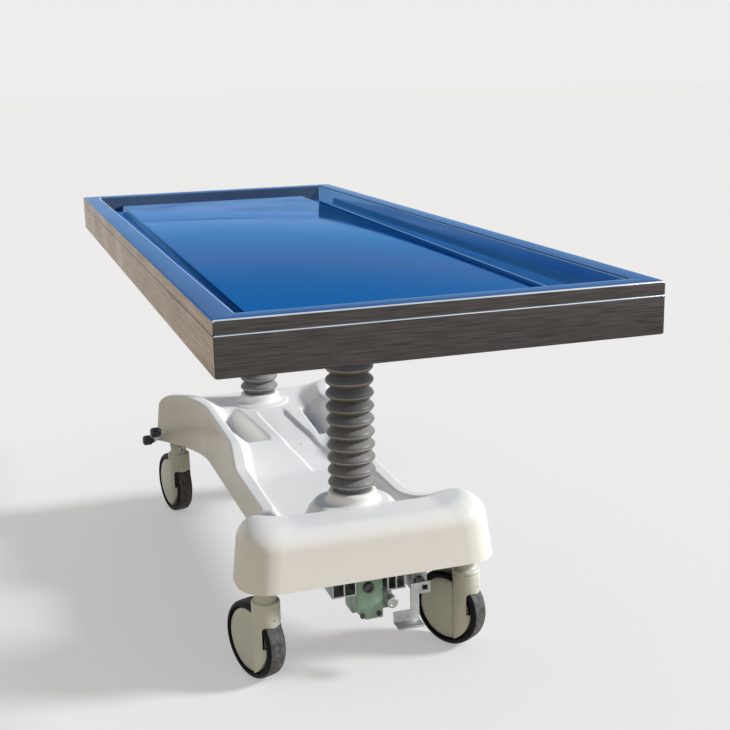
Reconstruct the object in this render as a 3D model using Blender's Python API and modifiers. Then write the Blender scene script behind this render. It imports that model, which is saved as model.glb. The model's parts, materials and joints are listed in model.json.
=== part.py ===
"""Embalming table: a polished basin in a box frame, lifted by two hydraulic columns
on a four-caster base under a moulded cover.

Metres, +Z up. The origin is on the floor under the middle of the table. +Y runs along the
table to the far end, where the brake pedal is, and -Y to the near end, where the pump pedal is.
"""
import math

import bmesh
import bpy
from mathutils import Vector

# Clearances
GAP = 0.0003
RUNNING_GAP = 0.001

# Table top
TABLE_LENGTH = 1.900
TABLE_WIDTH = 0.740
RIM_TOP = 0.830
RIM_WIDTH = 0.0435
RIM_EDGE_RADIUS = 0.002
LIP_HEIGHT = 0.022
SHEET = 0.0015
BASIN_DEPTH_FAR = 0.045
BASIN_DEPTH_NEAR = 0.065
PANEL_WIDTH = 0.560
PANEL_FAR_GUTTER = 0.022
PANEL_NEAR_GUTTER = 0.110
PANEL_RISE = 0.020
DRAIN_RADIUS = 0.018
DRAIN_INSET = 0.055
SPOUT_WALL = 0.004
SPOUT_LENGTH = 0.035
SPOUT_FLANGE = 0.014

# Box frame and what it stands on
SKIRT_HEIGHT = 0.066
RAIL_DEPTH = 0.030
RAIL_WALL = 0.002
CROSS_BEAM_WIDTH = 0.060
CROSS_BEAM_HEIGHT = 0.020
HEAD_SIZE = 0.150
HEAD_THICKNESS = 0.008
HEAD_CORNER = 0.012

# Lifting columns
COLUMN_Y = 0.4065
LIFT_DOWN = 0.200
RAM_RADIUS = 0.024
CYLINDER_RADIUS = 0.034
CYLINDER_DROP = 0.075
CYLINDER_FLOOR = 0.012
CYLINDER_FLANGE = 0.024
FLANGE_THICKNESS = 0.010
CYLINDER_TOP_CLEARANCE = 0.030
COLLAR_RADIUS = 0.0525
COLLAR_HEIGHT = 0.022
COLLAR_BORE_CLEARANCE = 0.0035
BELLOWS_CREST = 0.049
BELLOWS_VALLEY = 0.0415
BELLOWS_BORE = 0.0375
BELLOWS_RIBS = 16
BELLOWS_CUFF = 0.004

# Casters
STEM_X = 0.211
STEM_Y = 0.497
WHEEL_RADIUS = 0.080
TYRE_WIDTH = 0.035
TYRE_THICKNESS = 0.023
HUB_INSET = 0.002
WEB_THICKNESS = 0.016
WHEEL_CLEARANCE = 0.003
SIDE_CLEARANCE = 0.001
AXLE_RADIUS = 0.006
CASTER_TRAIL = 0.041
DISC_RADIUS = 0.068
DISC_THICKNESS = 0.0035
HOUSING_RADIUS = 0.0285
HOUSING_ROOF = 0.013
HOUSING_BEVEL = 0.004
SLOT_RISE = 0.042
NECK_RADIUS = 0.022
NECK_HEIGHT = 0.025
STEM_RADIUS = 0.014
STEM_ROOF = 0.005
STEM_FLANGE = 0.003
STEM_TOP = 0.016
SWIVEL_NEAR_LEFT = math.radians(20)
SWIVEL_NEAR_RIGHT = math.radians(30)
SWIVEL_FAR_LEFT = math.radians(11)
SWIVEL_FAR_RIGHT = math.radians(10)

# Chassis
BEAM_DEPTH = 0.040
BEAM_HEIGHT = 0.040
BEAM_WALL = 0.0025
BEAM_OVERHANG = 0.020
CHASSIS_RAIL_X = 0.065
CHASSIS_RAIL_WIDTH = 0.040
CHASSIS_RAIL_HEIGHT = 0.030
BASE_PLATE_WIDTH = 0.170
BASE_PLATE_LENGTH = 0.130
BASE_PLATE_THICKNESS = 0.008

# Moulded cover, heights above its lower edge
COVER_EDGE_RISE = 0.0055
COVER_WALL = 0.004
COVER_SIDE_OVERHANG = 0.054
COVER_END_OVERHANG = 0.063
COVER_WAIST = 0.168
COVER_CORNER = 0.045
WAIST_START = 0.270
WAIST_END_INSET = 0.045
COVER_ROUND = 0.040
VALLEY_HEIGHT = 0.045
BLOCK_HEIGHT = 0.112
FAR_CREST_HEIGHT = 0.137
NEAR_CREST_HEIGHT = 0.070
CORNER_CREST_HEIGHT = 0.121
CREST_START = 0.52
CREST_END = 0.84
STEP_Y = -0.030
PLATEAU_HEIGHT = 0.107
DOME_HEIGHT = 0.112
DOME_FLAT = 0.090
DOME_FOOT = 0.150
POCKET_DEPTH = 0.045
POCKET_INNER = 0.042
POCKET_INNER_WALL = 0.022
POCKET_BOTTOM = 0.075
POCKET_OUTER_SLOPE = 0.060
POCKET_NEAR = 0.095
POCKET_NEAR_WALL = 0.025
POCKET_FAR = 0.340
POCKET_FAR_SLOPE = 0.090

# Foot brake, at the far left corner
BRAKE_TILT = math.radians(-22.5)
SHAFT_FLATS = 0.012
ROCKER_THICKNESS = 0.003
ROCKER_WIDTH = 0.020
ROCKER_SIDE_GAP = 0.003
LONG_ARM = 0.119
SHORT_ARM = 0.065
PAD_RADIUS = 0.0135
PAD_LENGTH = 0.026
PAD_PIN_RADIUS = 0.005

# Foot pump, under the near end
PUMP_BODY_LEFT = -0.034
PUMP_BODY_RIGHT = 0.050
PUMP_BODY_DEPTH = 0.045
PUMP_BODY_HEIGHT = 0.091
PUMP_CAP_WIDTH = 0.053
PUMP_CAP_DEPTH = 0.038
PUMP_CAP_CUT = 0.016
PUMP_BACK_INSET = 0.070
PUMP_RAIL_LENGTH = 0.085
PUMP_RAIL_LEFT_WIDTH = 0.050
PUMP_RAIL_RIGHT_WIDTH = 0.038
PUMP_RAIL_HEIGHT = 0.036
PUMP_RAIL_WALL = 0.003
PUMP_RAIL_LEFT_GAP = 0.001
PUMP_RAIL_RIGHT_GAP = 0.010
PLUNGER_X = 0.034
PLUNGER_DROP = 0.056
PLUNGER_CAP_RADIUS = 0.0115
PLUNGER_ROD_RADIUS = 0.0065
PLUNGER_CAP_LENGTH = 0.020
PLUNGER_REACH = 0.056
PLUNGER_SEAT = 0.012
SPRING_TURNS = 6
SPRING_WIRE = 0.0011
SPRING_RADIUS = 0.0095
SPRING_POINTS = 9
PEDAL_X = 0.102
PEDAL_DROP = 0.034
PEDAL_SHAFT_SIZE = 0.015
PEDAL_SHAFT_WALL = 0.002
PEDAL_SHAFT_LENGTH = 0.085
PEDAL_BRACKET_WIDTH = 0.034
PEDAL_BRACKET_DEPTH = 0.032
PEDAL_FRONT = 0.050
PEDAL_SHEET = 0.004
PEDAL_STRAP_WIDTH = 0.018
PEDAL_STRAP_INSET = 0.0125
PEDAL_HEIGHT = 0.080
PEDAL_LEG_HEIGHT = 0.025
PEDAL_TREAD_WIDTH = 0.054
PEDAL_TREAD_DEPTH = 0.030
LINE_RADIUS = 0.004
LINE_OFFSET = 0.052
LINE_BEND = 0.015
LINE_DROP = 0.045

# Facets round a full turn
ROUND_SMALL = 12
ROUND_MEDIUM = 20
ROUND_LARGE = 28

# Heights worked out from the floor up
axle_height = WHEEL_RADIUS
well_radius = WHEEL_RADIUS + WHEEL_CLEARANCE
well_half_width = TYRE_WIDTH / 2 + SIDE_CLEARANCE
well_top = axle_height + well_radius
housing_top = well_top + HOUSING_ROOF
neck_top = housing_top + NECK_HEIGHT
stem_low = well_top + STEM_ROOF
beam_low = neck_top + GAP + STEM_FLANGE + GAP
beam_top = beam_low + BEAM_HEIGHT
beam_middle = (beam_low + beam_top) / 2
cover_edge = beam_low + COVER_EDGE_RISE
cover_half_length = STEM_Y + COVER_END_OVERHANG
cover_half_width = STEM_X + COVER_SIDE_OVERHANG
plate_low = beam_low + CHASSIS_RAIL_HEIGHT + GAP
flange_low = plate_low + BASE_PLATE_THICKNESS + GAP
collar_low = cover_edge + DOME_HEIGHT + GAP
collar_top = collar_low + COLLAR_HEIGHT

# Heights worked out from the rim down
lip_low = RIM_TOP - LIP_HEIGHT
frame_top = lip_low - GAP
frame_low = frame_top - SKIRT_HEIGHT
head_top = frame_low - GAP
head_low = head_top - HEAD_THICKNESS
basin_half_width = TABLE_WIDTH / 2 - RIM_WIDTH
basin_half_length = TABLE_LENGTH / 2 - RIM_WIDTH
cylinder_low = beam_low - CYLINDER_DROP
cylinder_top = head_low - LIFT_DOWN - CYLINDER_TOP_CLEARANCE
ram_low = cylinder_low + CYLINDER_FLOOR + LIFT_DOWN + RUNNING_GAP
collar_bore = CYLINDER_RADIUS + COLLAR_BORE_CLEARANCE
pump_top = beam_low - GAP
pump_back = -STEM_Y - BEAM_DEPTH / 2 + PUMP_BACK_INSET
pump_front = pump_back - PUMP_BODY_DEPTH

parts = None
cutters = None
finishes = {}


def start_scene():
    """Empty the scene and make one collection for the pieces and one for the cutters."""
    global parts, cutters
    for old in list(bpy.data.objects):
        bpy.data.objects.remove(old, do_unlink=True)
    parts = bpy.data.collections.new("embalming_table")
    cutters = bpy.data.collections.new("cutters")
    for group in (parts, cutters):
        bpy.context.scene.collection.children.link(group)


def finish(name, colour, roughness, metallic):
    material = bpy.data.materials.new(name)
    material.use_nodes = True
    shader = material.node_tree.nodes["Principled BSDF"]
    shader.inputs["Base Color"].default_value = (*colour, 1.0)
    shader.inputs["Roughness"].default_value = roughness
    shader.inputs["Metallic"].default_value = metallic
    material.diffuse_color = (*colour, 1.0)
    finishes[name] = material


def make_finishes():
    finish("polished_steel", (0.10, 0.27, 0.52), 0.08, 1.0)
    finish("brushed_steel", (0.45, 0.42, 0.40), 0.35, 1.0)
    finish("bright_steel", (0.70, 0.70, 0.72), 0.20, 1.0)
    finish("zinc_steel", (0.42, 0.44, 0.42), 0.45, 1.0)
    finish("green_casting", (0.32, 0.45, 0.40), 0.55, 0.0)
    finish("chassis_paint", (0.10, 0.10, 0.11), 0.50, 0.0)
    finish("cream_plastic", (0.84, 0.82, 0.77), 0.30, 0.0)
    finish("beige_plastic", (0.66, 0.65, 0.56), 0.40, 0.0)
    finish("grey_rubber", (0.16, 0.155, 0.145), 0.60, 0.0)
    finish("black_rubber", (0.02, 0.02, 0.02), 0.55, 0.0)
    finish("tyre_rubber", (0.02, 0.02, 0.02), 0.50, 0.0)


def place(item, group, parent):
    group.objects.link(item)
    item.parent = parent
    return item


def empty(name, location, rotation=(0, 0, 0), parent=None):
    """An axis that moving pieces hang from."""
    item = bpy.data.objects.new(name, None)
    item.location = location
    item.rotation_euler = rotation
    item.empty_display_size = 0.05
    return place(item, parts, parent)


def piece(name, bm, slot, parent=None, smooth=False):
    mesh = bpy.data.meshes.new(name)
    bm.to_mesh(mesh)
    bm.free()
    mesh.materials.append(finishes[slot])
    if smooth:
        mesh.shade_smooth()
        mesh.set_sharp_from_angle(angle=math.radians(35))
    return place(bpy.data.objects.new(name, mesh), parts, parent)


def cutter(item):
    """Turn a piece into a guide for Boolean modifiers."""
    parts.objects.unlink(item)
    cutters.objects.link(item)
    item.hide_render = True
    item.display_type = "WIRE"
    return item


def boolean(item, operation, *others):
    for other in others:
        modifier = item.modifiers.new(other.name, "BOOLEAN")
        modifier.operation = operation
        modifier.object = other
        modifier.solver = "EXACT"


def block(name, low, high, slot, parent=None):
    """A box between two corners."""
    bm = bmesh.new()
    bmesh.ops.create_cube(bm, size=1.0)
    low = Vector(low)
    high = Vector(high)
    bmesh.ops.scale(bm, vec=high - low, verts=bm.verts)
    bmesh.ops.translate(bm, vec=(low + high) / 2, verts=bm.verts)
    return piece(name, bm, slot, parent)


def bevel(item, width, segments=1, angle=math.radians(30)):
    modifier = item.modifiers.new("edges", "BEVEL")
    modifier.width = width
    modifier.segments = segments
    modifier.limit_method = "ANGLE"
    modifier.angle_limit = angle


def turned(name, profile, slot, steps, parent=None, closed=False):
    """A profile of (radius, height) points spun about Z, listed down its outer side."""
    bm = bmesh.new()
    points = [bm.verts.new((radius, 0, height)) for radius, height in profile]
    for first, second in zip(points, points[1:]):
        bm.edges.new((first, second))
    if closed:
        bm.edges.new((points[-1], points[0]))
    item = piece(name, bm, slot, parent)
    screw = item.modifiers.new("spin", "SCREW")
    screw.axis = "Z"
    screw.steps = steps
    screw.render_steps = steps
    screw.use_merge_vertices = True
    screw.merge_threshold = 0.00001
    screw.use_smooth_shade = True
    return item


def rod(name, radius, low, high, slot, steps, parent=None):
    return turned(name, [(0, high), (radius, high), (radius, low), (0, low)], slot, steps, parent)


def lay_along_x(item):
    """Turn a piece made along Z so that it runs along +X."""
    item.rotation_euler = (0, math.pi / 2, 0)
    return item


def lay_along_y(item):
    """Turn a piece made along Z so that it runs along +Y."""
    item.rotation_euler = (-math.pi / 2, 0, 0)
    return item


def outline(name, points, thickness, slot, parent=None):
    """A flat plate: a closed 2D outline in its own XY plane, centred on its thickness."""
    curve = bpy.data.curves.new(name, "CURVE")
    curve.dimensions = "2D"
    curve.fill_mode = "BOTH"
    curve.extrude = thickness / 2
    spline = curve.splines.new("POLY")
    spline.points.add(len(points) - 1)
    for point, (x, y) in zip(spline.points, points):
        point.co = (x, y, 0, 1)
    spline.use_cyclic_u = True
    curve.materials.append(finishes[slot])
    return place(bpy.data.objects.new(name, curve), parts, parent)


def as_mesh(curve_item):
    """Replace a curve by the closed mesh of its shape, so that it can be cut or joined."""
    bpy.context.view_layer.update()
    graph = bpy.context.evaluated_depsgraph_get()
    mesh = bpy.data.meshes.new_from_object(curve_item.evaluated_get(graph))
    bm = bmesh.new()
    bm.from_mesh(mesh)
    bmesh.ops.remove_doubles(bm, verts=bm.verts, dist=0.00001)
    bmesh.ops.recalc_face_normals(bm, faces=bm.faces)
    bm.to_mesh(mesh)
    bm.free()
    name = curve_item.name
    matrix = curve_item.matrix_world.copy()
    parent = curve_item.parent
    bpy.data.objects.remove(curve_item, do_unlink=True)
    item = place(bpy.data.objects.new(name, mesh), parts, parent)
    item.matrix_world = matrix
    return item


def tube(name, points, radius, slot, resolution, parent=None):
    """A round wire or pipe through a list of points."""
    curve = bpy.data.curves.new(name, "CURVE")
    curve.dimensions = "3D"
    curve.bevel_depth = radius
    curve.bevel_resolution = resolution
    curve.use_fill_caps = True
    spline = curve.splines.new("POLY")
    spline.points.add(len(points) - 1)
    for point, place_now in zip(spline.points, points):
        point.co = (*place_now, 1)
    curve.materials.append(finishes[slot])
    return place(bpy.data.objects.new(name, curve), parts, parent)


def basin_floor(y):
    """Height of the basin floor, which falls towards the drain at the near end."""
    share = (y + basin_half_length) / (2 * basin_half_length)
    depth = BASIN_DEPTH_NEAR + (BASIN_DEPTH_FAR - BASIN_DEPTH_NEAR) * share
    return RIM_TOP - depth


def fold(bm, edges, move):
    """Extrude open edges and send each new point where move() says; returns the new open edges."""
    made = bmesh.ops.extrude_edge_only(bm, edges=edges)["geom"]
    for vert in made:
        if isinstance(vert, bmesh.types.BMVert):
            vert.co = move(vert.co)
    return [edge for edge in made if isinstance(edge, bmesh.types.BMEdge) and edge.is_boundary]


def thicken(item, thickness):
    """Give an open surface a wall behind its visible side."""
    solid = item.modifiers.new("wall", "SOLIDIFY")
    solid.thickness = thickness
    solid.offset = -1
    solid.use_even_offset = True


def sheet_start(half_width, near, far, height):
    """An open rectangle facing up, with each corner at height(y), and its border edges."""
    bm = bmesh.new()
    bmesh.ops.create_grid(bm, x_segments=1, y_segments=1, size=1.0)
    for vert in bm.verts:
        y = far if vert.co.y > 0 else near
        vert.co = (half_width * vert.co.x, y, height(y))
    return bm, [edge for edge in bm.edges if edge.is_boundary]


def make_tray(lift):
    bm, edges = sheet_start(basin_half_width, -basin_half_length, basin_half_length, basin_floor)
    edges = fold(bm, edges, lambda co: (co.x, co.y, RIM_TOP))
    half_x = TABLE_WIDTH / 2
    half_y = TABLE_LENGTH / 2
    edges = fold(bm, edges, lambda co: (math.copysign(half_x, co.x), math.copysign(half_y, co.y), co.z))
    fold(bm, edges, lambda co: (co.x, co.y, lip_low))
    tray = piece("tray_basin", bm, "polished_steel", lift)
    bevel(tray, RIM_EDGE_RADIUS)
    thicken(tray, SHEET)
    drain_y = DRAIN_INSET - basin_half_length
    floor = basin_floor(drain_y)
    hole = rod("drain_cutter", DRAIN_RADIUS, floor - 0.02, floor + 0.02, "bright_steel", ROUND_MEDIUM, lift)
    hole.location = (0, drain_y, 0)
    boolean(tray, "DIFFERENCE", cutter(hole))

    flange = DRAIN_RADIUS + SPOUT_FLANGE
    pipe = DRAIN_RADIUS + SPOUT_WALL
    top = basin_floor(drain_y - flange) - SHEET - GAP
    profile = [(DRAIN_RADIUS, top), (flange, top), (flange, top - SPOUT_WALL), (pipe, top - SPOUT_WALL),
               (pipe, top - SPOUT_LENGTH), (DRAIN_RADIUS, top - SPOUT_LENGTH)]
    spout = turned("drain_spout", profile, "bright_steel", ROUND_MEDIUM, lift, closed=True)
    spout.location = (0, drain_y, 0)


def make_panel(lift):
    near = PANEL_NEAR_GUTTER - basin_half_length
    far = basin_half_length - PANEL_FAR_GUTTER
    bm, edges = sheet_start(PANEL_WIDTH / 2, near, far, lambda y: basin_floor(y) + PANEL_RISE)
    fold(bm, edges, lambda co: (co.x, co.y, basin_floor(co.y) + GAP))
    panel = piece("drain_panel", bm, "polished_steel", lift)
    bevel(panel, RIM_EDGE_RADIUS)
    thicken(panel, SHEET)


def mitred_rail(name, length, side, along_y, lift):
    """One box-section side of the frame, its ends cut at 45 degrees to meet its neighbours."""
    half_x = TABLE_WIDTH / 2
    half_y = TABLE_LENGTH / 2
    outer = half_x if along_y else half_y
    bm = bmesh.new()
    bmesh.ops.create_cube(bm, size=2.0)
    for vert in bm.verts:
        inward = 0 if vert.co.x > 0 else RAIL_DEPTH
        across = side * (outer - inward)
        along = vert.co.y * (length / 2 - inward - (GAP if along_y else 0))
        height = frame_top if vert.co.z > 0 else frame_low
        vert.co = (across, along, height) if along_y else (along, across, height)
    bmesh.ops.recalc_face_normals(bm, faces=bm.faces)
    rail = piece(name, bm, "brushed_steel", lift)
    low = side * (outer - RAIL_DEPTH + RAIL_WALL)
    high = side * (outer - RAIL_WALL)
    near, far = min(low, high), max(low, high)
    corner_low = (near, -length, frame_low + RAIL_WALL) if along_y else (-length, near, frame_low + RAIL_WALL)
    corner_high = (far, length, frame_top - RAIL_WALL) if along_y else (length, far, frame_top - RAIL_WALL)
    boolean(rail, "DIFFERENCE", cutter(block(name + "_bore", corner_low, corner_high, "brushed_steel", lift)))


def box_tube(name, low, high, wall, axis, slot, parent=None):
    """A box section that is open along one axis (0, 1 or 2)."""
    item = block(name, low, high, slot, parent)
    inner_low = [value + wall for value in low]
    inner_high = [value - wall for value in high]
    inner_low[axis] = low[axis] - wall
    inner_high[axis] = high[axis] + wall
    boolean(item, "DIFFERENCE", cutter(block(name + "_bore", inner_low, inner_high, slot, parent)))
    return item


def make_frame(lift):
    mitred_rail("frame_rail_left", TABLE_LENGTH, -1, True, lift)
    mitred_rail("frame_rail_right", TABLE_LENGTH, 1, True, lift)
    mitred_rail("frame_end_near", TABLE_WIDTH, -1, False, lift)
    mitred_rail("frame_end_far", TABLE_WIDTH, 1, False, lift)
    reach = TABLE_WIDTH / 2 - RAIL_DEPTH - GAP
    for end, y in (("near", -COLUMN_Y), ("far", COLUMN_Y)):
        low = (-reach, y - CROSS_BEAM_WIDTH / 2, frame_low)
        high = (reach, y + CROSS_BEAM_WIDTH / 2, frame_low + CROSS_BEAM_HEIGHT)
        box_tube("cross_beam_" + end, low, high, RAIL_WALL, 0, "zinc_steel", lift)
        half = HEAD_SIZE / 2
        low = (-half, y - half, head_low)
        high = (half, y + half, head_top)
        head = block("column_head_" + end, low, high, "zinc_steel", lift)
        bevel(head, HEAD_CORNER, 1, math.radians(80))
        weights = head.data.attributes.new("bevel_weight_edge", "FLOAT", "EDGE")
        for edge_item in head.data.edges:
            first, second = (head.data.vertices[index].co for index in edge_item.vertices)
            upright = abs(first.z - second.z) > HEAD_THICKNESS / 2
            weights.data[edge_item.index].value = 1.0 if upright else 0.0
        head.modifiers["edges"].limit_method = "WEIGHT"


def make_columns(lift):
    flange = CYLINDER_RADIUS + CYLINDER_FLANGE
    bore = RAM_RADIUS + GAP
    bore_low = cylinder_low + CYLINDER_FLOOR
    for end, y in (("near", -COLUMN_Y), ("far", COLUMN_Y)):
        ram = rod("ram_" + end, RAM_RADIUS, ram_low, head_low - GAP, "bright_steel", ROUND_MEDIUM, lift)
        ram.location.y = y
        profile = [(bore, cylinder_top), (CYLINDER_RADIUS, cylinder_top),
                   (CYLINDER_RADIUS, flange_low + FLANGE_THICKNESS), (flange, flange_low + FLANGE_THICKNESS),
                   (flange, flange_low), (CYLINDER_RADIUS, flange_low), (CYLINDER_RADIUS, cylinder_low),
                   (0, cylinder_low)]
        profile = [(0, bore_low), (bore, bore_low)] + profile
        cylinder = turned("cylinder_" + end, profile, "zinc_steel", ROUND_MEDIUM)
        cylinder.location.y = y
        ring = [(collar_bore, collar_top), (COLLAR_RADIUS, collar_top), (COLLAR_RADIUS, collar_low),
                (collar_bore, collar_low)]
        collar = turned("bellows_collar_" + end, ring, "cream_plastic", ROUND_LARGE, closed=True)
        collar.location.y = y
        make_bellows("bellows_" + end, y)


def make_bellows(name, y):
    """A ribbed sleeve with a plain bore, from the collar up to the column head."""
    low = collar_top + GAP
    high = head_low - GAP
    pitch = (high - low - 2 * BELLOWS_CUFF) / BELLOWS_RIBS
    profile = [(BELLOWS_BORE, high), (BELLOWS_VALLEY, high)]
    for rib in range(BELLOWS_RIBS):
        top = high - BELLOWS_CUFF - rib * pitch
        profile += [(BELLOWS_VALLEY, top), (BELLOWS_CREST, top - pitch / 2)]
    profile += [(BELLOWS_VALLEY, low + BELLOWS_CUFF), (BELLOWS_VALLEY, low), (BELLOWS_BORE, low)]
    sleeve = turned(name, profile, "grey_rubber", ROUND_MEDIUM, closed=True)
    sleeve.location.y = y


def smooth_step(value):
    value = min(max(value, 0.0), 1.0)
    return value * value * (3 - 2 * value)


def along(stations, y):
    """Smooth curve through (y, value) stations, with tangents from their neighbours."""
    if y <= stations[0][0]:
        return stations[0][1]
    for index in range(len(stations) - 1):
        (y0, v0), (y1, v1) = stations[index], stations[index + 1]
        if y <= y1:
            break
    else:
        return stations[-1][1]
    before = stations[max(index - 1, 0)]
    after = stations[min(index + 2, len(stations) - 1)]
    slope0 = (v1 - before[1]) / (y1 - before[0])
    slope1 = (after[1] - v0) / (after[0] - y0)
    span = y1 - y0
    t = (y - y0) / span
    return ((2 * t ** 3 - 3 * t ** 2 + 1) * v0 + (t ** 3 - 2 * t ** 2 + t) * span * slope0
            + (3 * t ** 2 - 2 * t ** 3) * v1 + (t ** 3 - t ** 2) * span * slope1)


def cover_width(y):
    """Half width of the cover's plan: a narrow waist, wide ends and round corners."""
    distance = abs(y)
    spread = (distance - WAIST_START) / (cover_half_length - WAIST_END_INSET - WAIST_START)
    spread = min(max(spread, 0.0), 1.0)
    width = COVER_WAIST + (cover_half_width - COVER_WAIST) * spread ** 2
    into_corner = max(distance - (cover_half_length - COVER_CORNER), 0.0)
    into_corner = min(into_corner, COVER_CORNER)
    arc = cover_half_width - COVER_CORNER + math.sqrt(COVER_CORNER ** 2 - into_corner ** 2)
    return min(width, arc)


def cover_rows():
    """Stations along the cover, close together where its top turns."""
    end = cover_half_length
    near = [-end, 0.012 - end, 0.030 - end, 0.060 - end, 0.090 - end, -COLUMN_Y - 0.038, -COLUMN_Y - 0.012,
            -COLUMN_Y + 0.012, -COLUMN_Y + 0.036, -COLUMN_Y + 0.060, -COLUMN_Y + 0.090, -COLUMN_Y + 0.130]
    middle = [-0.220, -0.160, -0.100, STEP_Y - 0.030, STEP_Y - 0.010, STEP_Y + 0.010, STEP_Y + 0.030,
              STEP_Y + 0.060]
    far = [POCKET_NEAR - 0.030, POCKET_NEAR, POCKET_NEAR + POCKET_NEAR_WALL, POCKET_NEAR + 0.065,
           POCKET_NEAR + 0.110, POCKET_FAR - POCKET_FAR_SLOPE, POCKET_FAR - 0.045, POCKET_FAR,
           COLUMN_Y - 0.036, COLUMN_Y - 0.012, COLUMN_Y + 0.012, COLUMN_Y + 0.038, end - 0.090, end - 0.060,
           end - 0.030, end - 0.012, end]
    return near + middle + far


def cover_plan(u, row_y, inset):
    """Plan position u of the way across (-1 to 1) a row, with the whole outline drawn in by an inset."""
    x = u * (cover_width(row_y) - inset)
    return x, row_y * (1 - inset / cover_half_length)


def cover_height(x, y):
    """Height of the cover's top above its lower edge."""
    end = cover_half_length
    valley = [(-end, BLOCK_HEIGHT - 0.010), (0.06 - end, BLOCK_HEIGHT),
              (-COLUMN_Y - 0.04, BLOCK_HEIGHT - 0.002), (-COLUMN_Y + 0.03, 0.072),
              (-COLUMN_Y + 0.08, VALLEY_HEIGHT), (STEP_Y - 0.05, VALLEY_HEIGHT),
              (STEP_Y, VALLEY_HEIGHT + 0.005), (STEP_Y + 0.06, PLATEAU_HEIGHT - 0.027),
              (STEP_Y + 0.12, PLATEAU_HEIGHT - 0.004), (0.15, PLATEAU_HEIGHT),
              (0.25, PLATEAU_HEIGHT + 0.001), (COLUMN_Y - 0.03, PLATEAU_HEIGHT + 0.001),
              (COLUMN_Y + 0.03, BLOCK_HEIGHT - 0.003), (end - 0.06, BLOCK_HEIGHT - 0.002),
              (end, BLOCK_HEIGHT - 0.010)]
    crest = [(-end, CORNER_CREST_HEIGHT - 0.012), (0.06 - end, CORNER_CREST_HEIGHT),
             (-COLUMN_Y - 0.03, CORNER_CREST_HEIGHT - 0.004), (-COLUMN_Y + 0.05, NEAR_CREST_HEIGHT + 0.010),
             (-COLUMN_Y + 0.11, NEAR_CREST_HEIGHT + 0.002), (-0.10, NEAR_CREST_HEIGHT + 0.003),
             (STEP_Y - 0.015, NEAR_CREST_HEIGHT + 0.005), (STEP_Y, NEAR_CREST_HEIGHT + 0.011),
             (STEP_Y + 0.03, FAR_CREST_HEIGHT - 0.018), (STEP_Y + 0.06, FAR_CREST_HEIGHT - 0.008),
             (0.08, FAR_CREST_HEIGHT - 0.005), (0.20, FAR_CREST_HEIGHT - 0.002),
             (COLUMN_Y, FAR_CREST_HEIGHT + 0.001), (end - 0.07, FAR_CREST_HEIGHT - 0.010),
             (end, CORNER_CREST_HEIGHT - 0.008)]
    share = abs(x) / cover_width(y)
    rise = smooth_step((share - CREST_START) / (CREST_END - CREST_START))
    height = along(valley, y) + (along(crest, y) - along(valley, y)) * rise
    pocket = smooth_step((abs(x) - POCKET_INNER) / POCKET_INNER_WALL)
    pocket *= 1 - smooth_step((abs(x) - POCKET_BOTTOM) / POCKET_OUTER_SLOPE)
    pocket *= smooth_step((y - POCKET_NEAR) / POCKET_NEAR_WALL)
    pocket *= 1 - smooth_step((y - POCKET_FAR + POCKET_FAR_SLOPE) / POCKET_FAR_SLOPE)
    height -= POCKET_DEPTH * pocket
    for column in (-COLUMN_Y, COLUMN_Y):
        distance = math.hypot(x, y - column)
        fall = smooth_step((distance - DOME_FLAT) / (DOME_FOOT - DOME_FLAT))
        height = DOME_HEIGHT if distance < DOME_FLAT else max(height, DOME_HEIGHT * (1 - fall))
    return height


def make_cover():
    """One moulded shell: a shaped grid whose border folds down into rounded walls."""
    bm = bmesh.new()
    rows = cover_rows()
    bmesh.ops.create_grid(bm, x_segments=14, y_segments=len(rows) - 1, size=1.0)
    across = bm.verts.layers.float.new("across")
    lengthwise = bm.verts.layers.float.new("lengthwise")
    for vert in bm.verts:
        row = round((vert.co.y + 1) / 2 * (len(rows) - 1))
        vert[across], vert[lengthwise] = vert.co.x, rows[row]
    rings = [(COVER_ROUND, 0.0), (COVER_ROUND * 0.5, COVER_ROUND * 0.12),
             (COVER_ROUND * 0.15, COVER_ROUND * 0.45), (0.0, COVER_ROUND), (0.0, None)]
    current = list(bm.verts)
    edges = [edge for edge in bm.edges if edge.is_boundary]
    for step, (inset, drop) in enumerate(rings):
        if step:
            made = bmesh.ops.extrude_edge_only(bm, edges=edges)["geom"]
            current = [item for item in made if isinstance(item, bmesh.types.BMVert)]
            edges = [item for item in made if isinstance(item, bmesh.types.BMEdge) and item.is_boundary]
        for vert in current:
            top_x, top_y = cover_plan(vert[across], vert[lengthwise], COVER_ROUND)
            x, y = cover_plan(vert[across], vert[lengthwise], inset)
            height = 0.0 if drop is None else cover_height(top_x, top_y) - drop
            vert.co = (x, y, cover_edge + height)
    bmesh.ops.recalc_face_normals(bm, faces=bm.faces)
    upwards = sum(face.normal.z * face.calc_area() for face in bm.faces)
    if upwards < 0:
        bmesh.ops.reverse_faces(bm, faces=bm.faces)
    cover = piece("base_cover", bm, "cream_plastic", smooth=True)
    thicken(cover, COVER_WALL)
    for end, y in (("near", -COLUMN_Y), ("far", COLUMN_Y)):
        hole = rod("cover_hole_" + end, collar_bore, cover_edge, collar_top, "cream_plastic", ROUND_LARGE)
        hole.location.y = y
        hole.rotation_euler.z = math.pi / ROUND_LARGE
        boolean(cover, "DIFFERENCE", cutter(hole))
    reach = cover_half_width + COVER_WALL
    window = rod("cover_shaft_hole", SHAFT_FLATS, -reach, -STEM_X, "cream_plastic", ROUND_MEDIUM)
    window.location = (0, STEM_Y, beam_middle)
    boolean(cover, "DIFFERENCE", lay_along_x(cutter(window)))


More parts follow.
